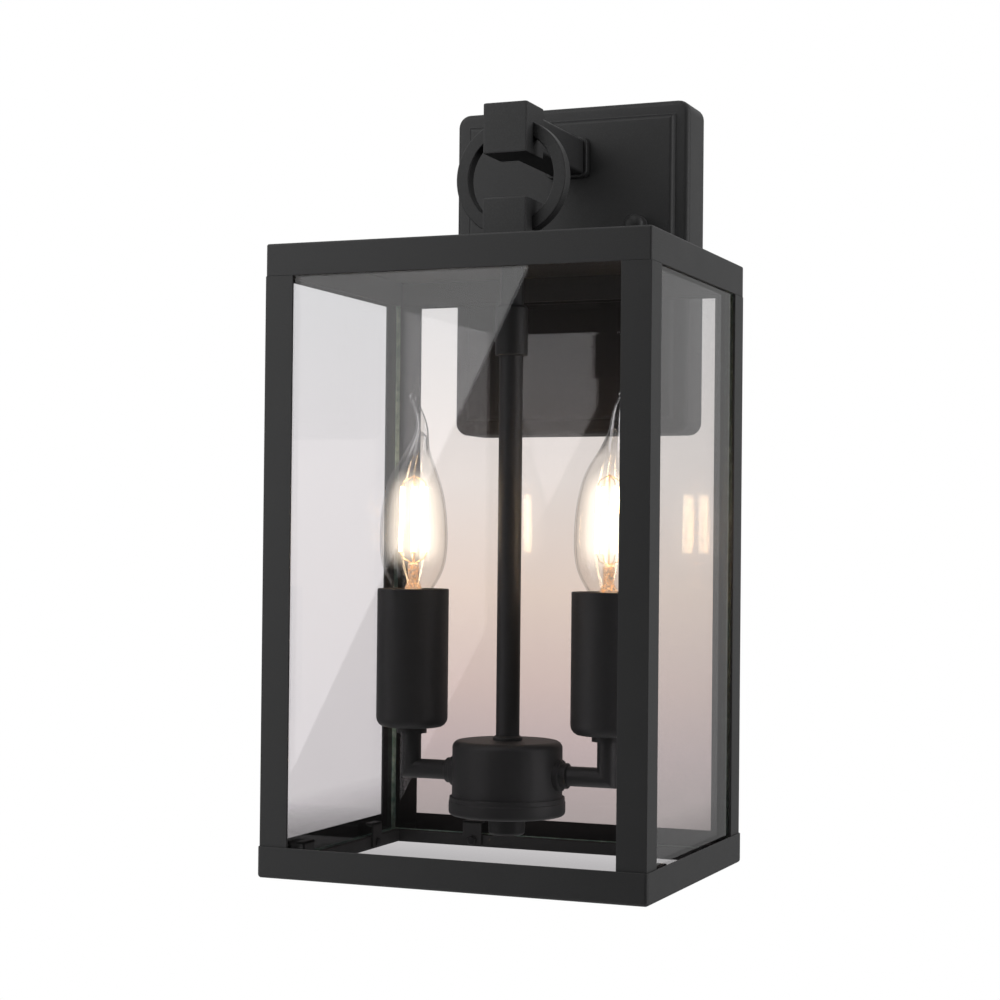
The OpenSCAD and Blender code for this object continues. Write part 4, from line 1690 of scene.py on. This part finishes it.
@dataclass
class Hub:
    """The drum at the stem's foot, its cover and the knob that holds it."""

    shop: Workshop
    radius: float = 28.0
    low: float = 31.0
    top: float = 65.6
    wall: float = 1.5
    cover: tuple[float, float] = (27.8, 37.3)
    cover_radius: float = 29.65
    hole: float = 4.95
    rod: float = 2.9
    knob_low: float = 18.0
    knob_radius: float = 9.4
    neck_radius: float = 7.6
    elbow_z: float = 49.0
    bushing_x: float = 33.0
    bushing_steps: tuple[Point2, Point2] = ((8.0, 3.4), (6.5, 6.5))

    def build(self) -> None:
        """Makes the hub's pieces."""
        self.drum()
        self.lid()
        self.knob()
        self.bushings()

    def drum(self) -> None:
        """The spun drum with its rolled shoulder."""
        r, t, bore = self.radius, self.wall, self.hole + 0.15
        outline = [
            (bore, self.top - t, 0),
            (r - t, self.top - t, 2.4),
            (r - t, self.low, 0.2),
            (r, self.low, 0.2),
            (r, self.top, 3.6),
            (bore, self.top, 0.2),
        ]
        mesh = turned(outline, True, 128)
        self.shop.piece("hub_body_spun", mesh, self.shop.lantern, Slot.COAT, Body.LANTERN, ["hub_body"])

    def lid(self) -> None:
        """The shallow cover that closes the drum, with a bead near its rim."""
        low, high = self.cover
        r, t = self.cover_radius, self.wall
        bore = self.rod + 0.2
        outline = [
            (bore, low, 0.2),
            (r, low, 2.2),
            (r, high - 2.6, 0.2),
            (r - 0.35, high - 2.3, 0.2),
            (r - 0.35, high, 0.3),
            (self.radius + 0.15, high, 0.2),
            (self.radius + 0.15, low + t, 1.2),
            (bore, low + t, 0.2),
        ]
        mesh = turned(outline, True, 128)
        self.shop.piece("hub_cover_spun", mesh, self.shop.lantern, Slot.COAT, Body.HUB_COVER, ["hub_cover"])

    def knob(self) -> None:
        """The round knob under the cover, with a neck above its shoulder."""
        top, low = self.cover[0] - 0.1, self.knob_low
        r, neck, bore = self.knob_radius, self.neck_radius, self.rod + 0.05
        outline = [
            (0, low, 0),
            (r - 1.0, low, 1.0),
            (r - 0.1, low + 1.2, 0.8),
            (r, top - 2.0, 0.7),
            (r - 1.0, top - 1.4, 0.4),
            (neck, top - 1.2, 0.2),
            (neck, top, 0.3),
            (bore, top, 0.2),
            (bore, low + 1.6, 0),
            (0, low + 1.6, 0),
        ]
        mesh = turned(outline, False, 72)
        self.shop.piece("finial_knob", mesh, self.shop.lantern, Slot.COAT, Body.FINIAL, ["finial"])

    def bushings(self) -> None:
        """The stepped bushings where the elbows leave the drum."""
        parts = []
        (wide, shoulder), (narrow, length) = self.bushing_steps
        outline = [
            (self.hole, 0, 0),
            (wide, 0, 0),
            (wide, shoulder, 0.5),
            (narrow, shoulder, 0.3),
            (narrow, length, 0.5),
            (self.hole, length, 0.2),
        ]
        for side in Side:
            bush = turned(outline, True, 48)
            start = side.value * (self.bushing_x - length)
            turn = Matrix.Rotation(math.radians(90 * side.value), 4, "Y")
            bush.transform(Matrix.Translation((start, 0, self.elbow_z)) @ turn)
            parts.append(bush)
        mesh, place = merged(parts), self.shop.lantern
        self.shop.piece("hub_bushings_stepped", mesh, place, Slot.COAT, Body.LANTERN, ["hub_bushings"])


@dataclass
class LampArm:
    """One elbow and the candle sleeve that sits on it."""

    shop: Workshop
    side: Side
    axis_x: float = 53.5
    elbow_z: float = 49.0
    radius: float = 5.0
    pipe: float = 4.9
    inner_end: float = 20.6
    start: float = 33.0
    seat: tuple[float, float] = (67.2, 70.2)
    thread_high: float = 9.5
    sleeve_radius: float = 18.5
    rim: float = 141.7
    wall: float = 1.5
    steps: int = 48

    @property
    def at_lamp(self) -> Matrix:
        """From millimetres round the lamp's own axis to shared metres."""
        return self.shop.lantern @ Matrix.Translation((self.side.value * self.axis_x, 0, 0))

    def build(self) -> None:
        """Makes this side's pieces."""
        self.elbow()
        self.sleeve()

    def elbow(self) -> None:
        """A mitred elbow: two tubes cut at 45 degrees and brazed, with threaded ends."""
        r, pipe = self.radius, self.pipe
        level = ((self.inner_end, pipe), (self.start, pipe), (self.start, r))
        upright = ((self.seat[0], r), (self.seat[0], pipe), (self.seat[1] + self.thread_high, pipe))
        loops = [self._level_ring(along, thick, 0.0) for along, thick in level]
        loops.append(self._level_ring(self.axis_x, r, 1.0))
        loops += [self._upright_ring(height, thick) for height, thick in upright]
        mesh = skinned(loops, False)
        node = f"elbow_{self.side.word}"
        self.shop.piece(f"{node}_mitred", mesh, self.shop.lantern, Slot.COAT, Body.LANTERN, [node])

    def _level_ring(self, along: float, thick: float, mitre: float) -> list[Vector]:
        """A ring of points round the elbow's level leg.

        Args:
            along: how far out from the stem its middle is.
            thick: its radius.
            mitre: 0 for a square cut, 1 for one at 45 degrees.

        Returns:
            The points. Angle 0 is the top of the leg, which becomes the inner side of the upright.
        """
        points = []
        for i in range(self.steps):
            angle = i * math.tau / self.steps
            up = thick * math.cos(angle)
            points.append(
                Vector((self.side.value * (along - mitre * up), thick * math.sin(angle), self.elbow_z + up))
            )
        return points

    def _upright_ring(self, height: float, thick: float) -> list[Vector]:
        """A ring of points round the elbow's upright leg.

        Args:
            height: where it is.
            thick: its radius.

        Returns:
            The points, in the same order as those of the level leg.
        """
        points = []
        for i in range(self.steps):
            angle = i * math.tau / self.steps
            out = self.axis_x - thick * math.cos(angle)
            points.append(Vector((self.side.value * out, thick * math.sin(angle), height)))
        return points

    def sleeve(self) -> None:
        """The candle sleeve: a drawn cup with a rounded foot and a rolled rim."""
        low, bore = self.seat[1], self.pipe + 0.05
        r, t = self.sleeve_radius, self.wall
        outline = [
            (bore, low, 0.1),
            (r, low, 5.0),
            (r, self.rim, 0.55),
            (r - t, self.rim, 0.55),
            (r - t, low + 2, 3.5),
            (bore, low + 2, 0.1),
        ]
        mesh = turned(outline, True, 112)
        node = f"sleeve_{self.side.word}"
        self.shop.piece(f"{node}_drawn", mesh, self.at_lamp, Slot.COAT, Body.LANTERN, [node])


@dataclass
class Bulb:
    """A flame-tip bulb: blown glass with a bent tip, four lit filaments, and its screw cap."""

    shop: Workshop
    repeater: Repeater
    side: Side
    axis_x: float = 53.5
    rim: float = 141.7
    wall: float = 0.8
    hollow: float = 3.5
    bend_start: float = 58.0
    cap_radius: float = 5.95
    cap_top: float = -5.5
    cap_low: float = -19.9
    filament_low: float = 18.8
    filament_high: float = 53.0
    filament_foot: float = 6.9
    filament_top: float = 6.2
    filament_radius: float = 0.95
    wire_radius: float = 0.28

    @property
    def turns(self) -> str:
        """The body that the bulb rides on."""
        return f"bulb_{self.side.word}"

    @property
    def at_rim(self) -> Matrix:
        """From millimetres round the bulb's axis, counted from the sleeve's rim, to shared metres."""
        place = Matrix.Translation((self.side.value * self.axis_x, 0, self.rim))
        return self.shop.lantern @ place

    def build(self) -> None:
        """Makes the bulb's pieces."""
        self.glass()
        self.filaments()
        self.cap()
        self.contact()

    def shape(self) -> list[tuple[float, float, float]]:
        """The outside of the glass, from its neck to the bead at the end of its tip.

        Returns:
            Radius, height above the rim and sideways lean, ring by ring.
        """
        body = (
            (6.45, -5.5), (7.2, -4.3), (8.4, -2.5), (10.1, -0.1), (12.0, 2.9), (13.9, 6.3), (15.3, 9.5),
            (16.5, 13.7), (17.2, 18.5), (17.5, 24.0), (17.45, 29.5), (17.1, 36.0), (16.4, 42.5),
            (15.3, 48.6), (13.9, 54.2), (12.1, 59.3), (10.1, 63.8), (8.0, 67.8), (6.2, 71.5), (4.9, 75.2),
        )  # fmt: skip
        tip = (
            (3.95, 78.8), (3.2, 82.5), (2.7, 86.2), (2.35, 89.8), (2.1, 93.0),
            (1.85, 95.8), (1.5, 97.6), (2.0, 98.6), (2.1, 99.4),
        )  # fmt: skip
        bends = {
            Side.LEFT: (3.6, 4.1, 3.8, 2.8, 1.5, 0.2, -0.7, -1.1, -1.3),
            Side.RIGHT: (2.6, 3.0, 3.3, 3.7, 4.4, 5.4, 6.1, 6.4, 6.6),
        }
        bend = bends[self.side]
        rise = tip[0][1] - self.bend_start
        leaning = [(r, h, bend[0] * max(0.0, (h - self.bend_start) / rise) ** 1.5) for r, h in body]
        bent = [(r, h, lean) for (r, h), lean in zip(tip, bend)]
        bead = [(r, h, bend[-1]) for r, h in ((1.75, 100.5), (1.0, 101.2), (0.0, 101.4))]
        return leaning + bent + bead

    def glass(self) -> None:
        """The blown envelope: one skin outside, and one inside as far as the tip is hollow."""
        shape = self.shape()
        outer = [self._hoop(*ring) for ring in reversed(shape)]
        hollow = [ring for ring in shape if ring[0] > self.hollow]
        inner = [self._hoop(r - self.wall, h, lean) for r, h, lean in hollow]
        _, height, lean = hollow[-1]
        mesh = skinned([*outer, *inner, [Vector((lean, 0, height + 3.0))]], False)
        material = BlownGlass(f"bulb glass {self.side.word}", self.at_rim.translation).build()
        node = f"bulb_{self.side.word}_glass"
        self.shop.piece(f"{node}_blown", mesh, self.at_rim, Slot.BULB, self.turns, [node], [material])

    @staticmethod
    def _hoop(radius: float, height: float, lean: float) -> list[Vector]:
        """A level ring of points round a centre that leans to one side."""
        return [p + Vector((lean, 0, 0)) for p in circle_loop(radius, height, 72)]

    def filaments(self) -> None:
        """Four phosphor rods on a glass stem, between a lower and an upper star of wires."""
        low, high, foot_z = self.filament_low, self.filament_high, self.at_rim.translation.z
        lit = LitPhosphor(f"lit filament {self.side.word}", foot_z + low * MM, foot_z + high * MM).build()
        support = Support().build()
        lean = math.atan2(self.filament_foot - self.filament_top, high - low)
        first = math.radians(30 if self.side is Side.LEFT else 46)
        places, wires = [], []
        for k in range(4):
            angle = first + k * math.pi / 2
            foot = self._round(angle, self.filament_foot, low)
            top = self._round(angle, self.filament_top, high)
            places.append((foot, Vector((0, -lean, angle))))
            wires.append([self._round(angle, 0, low - 6.0), self._round(angle, 5.4, low - 3.4), foot])
            wires.append([top, self._round(angle, 5.6, high + 2.4), self._round(angle, 0, high + 5.5)])
        rods = self.repeater.copies(self._rod(), places, lit)
        radius, bend = self.wire_radius * MM, 0.9 * MM
        fine = [self.repeater.wire(wire, radius, bend, support) for wire in wires]
        whole = joined([rods, *self._mount(), *fine])
        for face in whole.faces:
            face.material_index = face.material_index if face.material_index < 3 else 1
        node = f"bulb_{self.side.word}_filaments"
        materials = [lit, support, MountGlass().build()]
        place = Matrix.Identity(4)
        self.shop.piece(f"{node}_lit", whole, place, Slot.FILAMENT, self.turns, [node], materials)

    def _round(self, angle: float, out: float, height: float) -> Vector:
        """A point at an angle, a radius and a height round the bulb's axis, in shared metres."""
        return self.at_rim @ Vector((out * math.cos(angle), out * math.sin(angle), height))

    def _rod(self) -> bmesh.types.BMesh:
        """One filament.

        Returns:
            The mesh, in metres, standing on the origin.
        """
        r, length = self.filament_radius, self.filament_high - self.filament_low
        rod = turned([(0, 0, 0), (r, 0, 0.35), (r, length, 0.35), (0, length, 0)], False, 16)
        rod.transform(Matrix.Scale(MM, 4))
        return rod

    def _mount(self) -> list[bpy.types.Mesh]:
        """The mast that holds the upper star, and the pinched glass stalk under it.

        Returns:
            Both meshes, in shared metres.
        """
        r, top = 0.45, self.filament_high + 5.7
        mast = turned([(0, 13.4, 0), (r, 13.4, 0), (r, top, 0.2), (0, top, 0)], False, 12)
        stalk = turned(
            [
                (0, -4.6, 0),
                (5.0, -4.6, 0.3),
                (4.4, 0.5, 1.5),
                (2.6, 4.5, 2.0),
                (3.1, 13.0, 1.2),
                (0, 13.6, 0),
            ],
            False,
            32,
        )
        solids = []
        for part in (mast, stalk):
            part.transform(self.at_rim)
            data = bpy.data.meshes.new("mount")
            part.to_mesh(data)
            part.free()
            solids.append(data)
        return solids

    def cap(self) -> None:
        """The screw cap with its rolled thread, and the insulator's shape at its foot in the same finish."""
        r, low, top = self.cap_radius, self.cap_low, self.cap_top
        outline = [
            (1.25, low - 2.4, 0),
            (2.4, low - 2.5, 0.2),
            (r - 0.5, low - 0.8, 0.4),
            (r, low, 0.3),
            (r, top, 0.4),
            (5.0, top, 0.2),
            (5.0, top - 1.5, 0),
            (1.25, low + 1.5, 0),
        ]
        thread = Thread(pitch=2.54, depth=0.5, start=low, end=top - 2.5)
        mesh = turned(outline, True, 48, [thread])
        node = f"bulb_{self.side.word}_cap"
        self.shop.piece(f"{node}_threaded", mesh, self.at_rim, Slot.NICKEL, self.turns, [node])

    def contact(self) -> None:
        """The solder button in the middle of the cap's foot."""
        top = self.cap_low - 2.6
        outline = [
            (0, top - 1.5, 0),
            (1.5, top - 1.45, 0.3),
            (2.2, top - 0.8, 0.5),
            (2.2, top, 0.2),
            (1.2, top, 0),
            (1.2, top + 3.6, 0.2),
            (0, top + 3.6, 0),
        ]
        mesh = turned(outline, False, 32)
        node, body = f"bulb_{self.side.word}_contact", f"bulb_{self.side.word}_feed"
        self.shop.piece(f"{node}_button", mesh, self.at_rim, Slot.NICKEL, body, [node])


@dataclass
class Studio:
    """The plain floor, the soft lights and the camera. Places are millimetres in the lantern's frame."""

    shop: Workshop
    lamp_x: float = 53.5
    lamp_z: float = 177.7
    lamp_watts: float = 0.25
    lamp_colour: Colour = (1.0, 0.62, 0.32)
    lamp_radius: float = 0.008
    heading: float = 22.19
    pitch: float = 0.776
    roll: float = 0.568
    lens: float = 76.05
    shift: float = 0.0188
    eye: tuple[float, float, float] = (401.1, -996.5, 163.4)

    def build(self) -> None:
        """Sets the scene."""
        self.world()
        self.floor()
        self.lights()
        self.camera()

    def world(self) -> None:
        """A white backdrop: bright behind the lantern, dimmer in front of it, and plain white to look at."""
        world = bpy.data.worlds.new("studio")
        bpy.context.scene.world = world
        world.use_nodes = True
        graph = Graph(world.node_tree)
        heading = graph.node("ShaderNodeTexCoord", {}, {}).outputs["Generated"]
        _, y, z = graph.axes(heading)
        behind = y.between(-0.15, 0.45)
        level = behind * (z.between(-0.5, 0.15) * 0.32 + 0.18) + z.between(0.1, 0.9) * 0.32 + 0.05
        dim = graph.node("ShaderNodeBackground", {}, {"Color": (1, 1, 1, 1), "Strength": level}).outputs[0]
        plain = graph.node("ShaderNodeBackground", {}, {"Color": (1, 1, 1, 1), "Strength": 1.0}).outputs[0]
        seen = graph.node("ShaderNodeLightPath", {}, {}).outputs["Is Camera Ray"]
        mixed = graph.node("ShaderNodeMixShader", {}, {0: seen, 1: dim, 2: plain}).outputs[0]
        graph.node("ShaderNodeOutputWorld", {}, {"Surface": mixed})

    def floor(self) -> None:
        """A plain pale floor well below the lantern."""
        mesh = bmesh.new()
        low = self.shop.floor_z - 0.5
        corners = [(-0.9, -1.3), (0.9, -1.3), (0.9, 0.6), (-0.9, 0.6)]
        mesh.faces.new([mesh.verts.new((x, y, low)) for x, y in corners])
        data = bpy.data.meshes.new("floor")
        mesh.to_mesh(data)
        mesh.free()
        material, graph = new_material("floor white", (0.9, 0.9, 0.9))
        inputs = {
            "Base Color": (0.8, 0.8, 0.8, 1),
            "Roughness": 0.9,
            "Emission Color": (1, 1, 1, 1),
            "Emission Strength": 0.02,
        }
        graph.principled(inputs)
        data.materials.append(material)
        floor = scratch("floor", data)

    def lights(self) -> None:
        """A tilted softbox in front on the left, a small one on the right, and a glow in each bulb."""
        slant = Vector((0.524, 0.245, 0.816))
        self.softbox("front left", Vector((-427, -800, 42)), slant, 1, (1.1, 2.4), 15.0)
        self.softbox("right", Vector((1200, -300, 500)), Vector((0, 0, 1)), -1, (0.8, 1.6), 13.0)
        for side in Side:
            light = bpy.data.lights.new(f"lamp {side.word}", "POINT")
            light.energy = self.lamp_watts
            light.color = self.lamp_colour
            light.shadow_soft_size = self.lamp_radius
            lamp = bpy.data.objects.new(f"lamp {side.word}", light)
            lamp.location = self.shop.lantern @ Vector((side.value * self.lamp_x, 0, self.lamp_z))
            lamp.visible_glossy = False
            lamp.visible_camera = False
            bpy.context.scene.collection.objects.link(lamp)

    def softbox(
        self, name: str, edge: Vector, along: Vector, away: int, size: tuple[float, float], watts: float
    ) -> None:
        """One rectangular soft light that faces the lantern's middle.

        Args:
            name: its name.
            edge: the middle of one long edge, in the lantern's frame.
            along: the direction of that edge.
            away: 1 for a light that spreads to the left of its edge, seen from the front, -1 to the right.
            size: its width and height, in metres.
            watts: its power.
        """
        light = bpy.data.lights.new(name, "AREA")
        light.shape = "RECTANGLE"
        light.size, light.size_y = size
        light.energy = watts
        lamp = bpy.data.objects.new(name, light)
        along = along.normalized()
        toward = (Vector((0, 0, 150)) - edge).normalized()
        across = along.cross(toward).normalized() * away
        up = along * away
        back = (-across).cross(up)
        turn = Matrix((-across, up, back)).transposed().to_4x4()
        centre = self.shop.lantern @ edge + across * size[0] / 2
        lamp.matrix_world = Matrix.Translation(centre) @ turn
        lamp.visible_camera = False
        bpy.context.scene.collection.objects.link(lamp)

    def camera(self) -> None:
        """A long lens a little to the right of the front."""
        yaw, pitch, roll = (math.radians(angle) for angle in (self.heading, self.pitch, self.roll))
        data = bpy.data.cameras.new("camera")
        data.sensor_width = 36.0
        data.lens = self.lens
        data.shift_y = self.shift
        data.clip_start = 0.05
        camera = bpy.data.objects.new("camera", data)
        right = Vector((math.cos(yaw), math.sin(yaw), 0))
        ahead = Vector((-math.sin(yaw), math.cos(yaw), 0))
        view = ahead * math.cos(pitch) + Vector((0, 0, 1)) * math.sin(pitch)
        up = Vector((0, 0, 1)) * math.cos(pitch) - ahead * math.sin(pitch)
        across = right * math.cos(roll) + up * math.sin(roll)
        above = up * math.cos(roll) - right * math.sin(roll)
        turn = Matrix((across, above, -view)).transposed().to_4x4()
        camera.matrix_world = Matrix.Translation(self.shop.lantern @ Vector(self.eye)) @ turn
        bpy.context.scene.collection.objects.link(camera)
        bpy.context.scene.camera = camera
        bpy.context.scene.view_settings.view_transform = "Standard"


def finishes(floor_z: float) -> dict[Slot, bpy.types.Material]:
    """Every slot's own finish.

    Args:
        floor_z: height of the lantern's bottom.

    Returns:
        Slot to material.
    """
    plain_bulb, _ = new_material("bulb glass plain", (0.95, 0.93, 0.88))
    metals = {
        Slot.ZINC: PlainMetal("zinc plate", (0.66, 0.67, 0.68), (0.46, 0.47, 0.48), 0.34),
        Slot.NICKEL: PlainMetal("nickel plate", (0.78, 0.74, 0.68), (0.60, 0.55, 0.48), 0.22),
        Slot.BRASS: PlainMetal("drawn brass", (0.86, 0.66, 0.28), (0.62, 0.44, 0.18), 0.28),
    }
    mouldings = {
        Slot.HOLDER: Moulding("holder ivory", (0.78, 0.74, 0.64), (0.70, 0.66, 0.56), 0.42, 900, 0.02),
        Slot.FOAM: Moulding("sealing foam", (0.035, 0.035, 0.037), (0.05, 0.05, 0.052), 0.85, 1500, 0.15),
        Slot.GREEN: Moulding("ground green", (0.03, 0.22, 0.07), (0.02, 0.15, 0.05), 0.35, 700, 0.02),
        Slot.SHEATH: Moulding("wire sheath", (0.02, 0.02, 0.022), (0.03, 0.03, 0.032), 0.38, 1200, 0.01),
        Slot.CONNECTOR: Moulding("connector", (0.80, 0.26, 0.03), (0.70, 0.20, 0.02), 0.4, 900, 0.02),
    }
    return {
        Slot.COAT: PowderCoat().build(),
        Slot.PANE: ClearPane("pane glass", LOW_SHADE_TINT).build(floor_z),
        Slot.BULB: plain_bulb,
        Slot.FILAMENT: Support("filament wires").build(),
        **{slot: finish.build() for slot, finish in (metals | mouldings).items()},
    }


class Assembly(Protocol):
    """A part of the lantern or its studio that main can build."""

    def build(self) -> None:
        """Makes its pieces."""


def main() -> None:
    """Builds the lantern round the frame."""
    logging.basicConfig(level=logging.INFO, format="%(message)s")
    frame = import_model()
    stem_low, stem_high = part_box("stem")
    base_low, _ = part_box("base_frame")
    axis_y = (stem_low.y + stem_high.y) / 2
    shop = Workshop(axis_y, base_low.z, finishes(base_low.z))
    for entry in frame["record"]["subparts"]:
        shop.dress(frame["nodes"][entry["node"]], Slot(entry["material_slot"]))
    repeater = Repeater()
    assemblies: list[Assembly] = [WallPlate(shop), Hanger(shop), Housing(shop, repeater)]
    assemblies += [Stem(shop), Hub(shop)]
    for side in Side:
        assemblies += [LampArm(shop, side), Bulb(shop, repeater, side)]
    assemblies.append(Studio(shop))
    for assembly in assemblies:
        LOG.info("building %s", type(assembly).__name__)
        assembly.build()
    LOG.info("%d pieces made", len(shop.made))


if __name__ == "__main__":
    main()
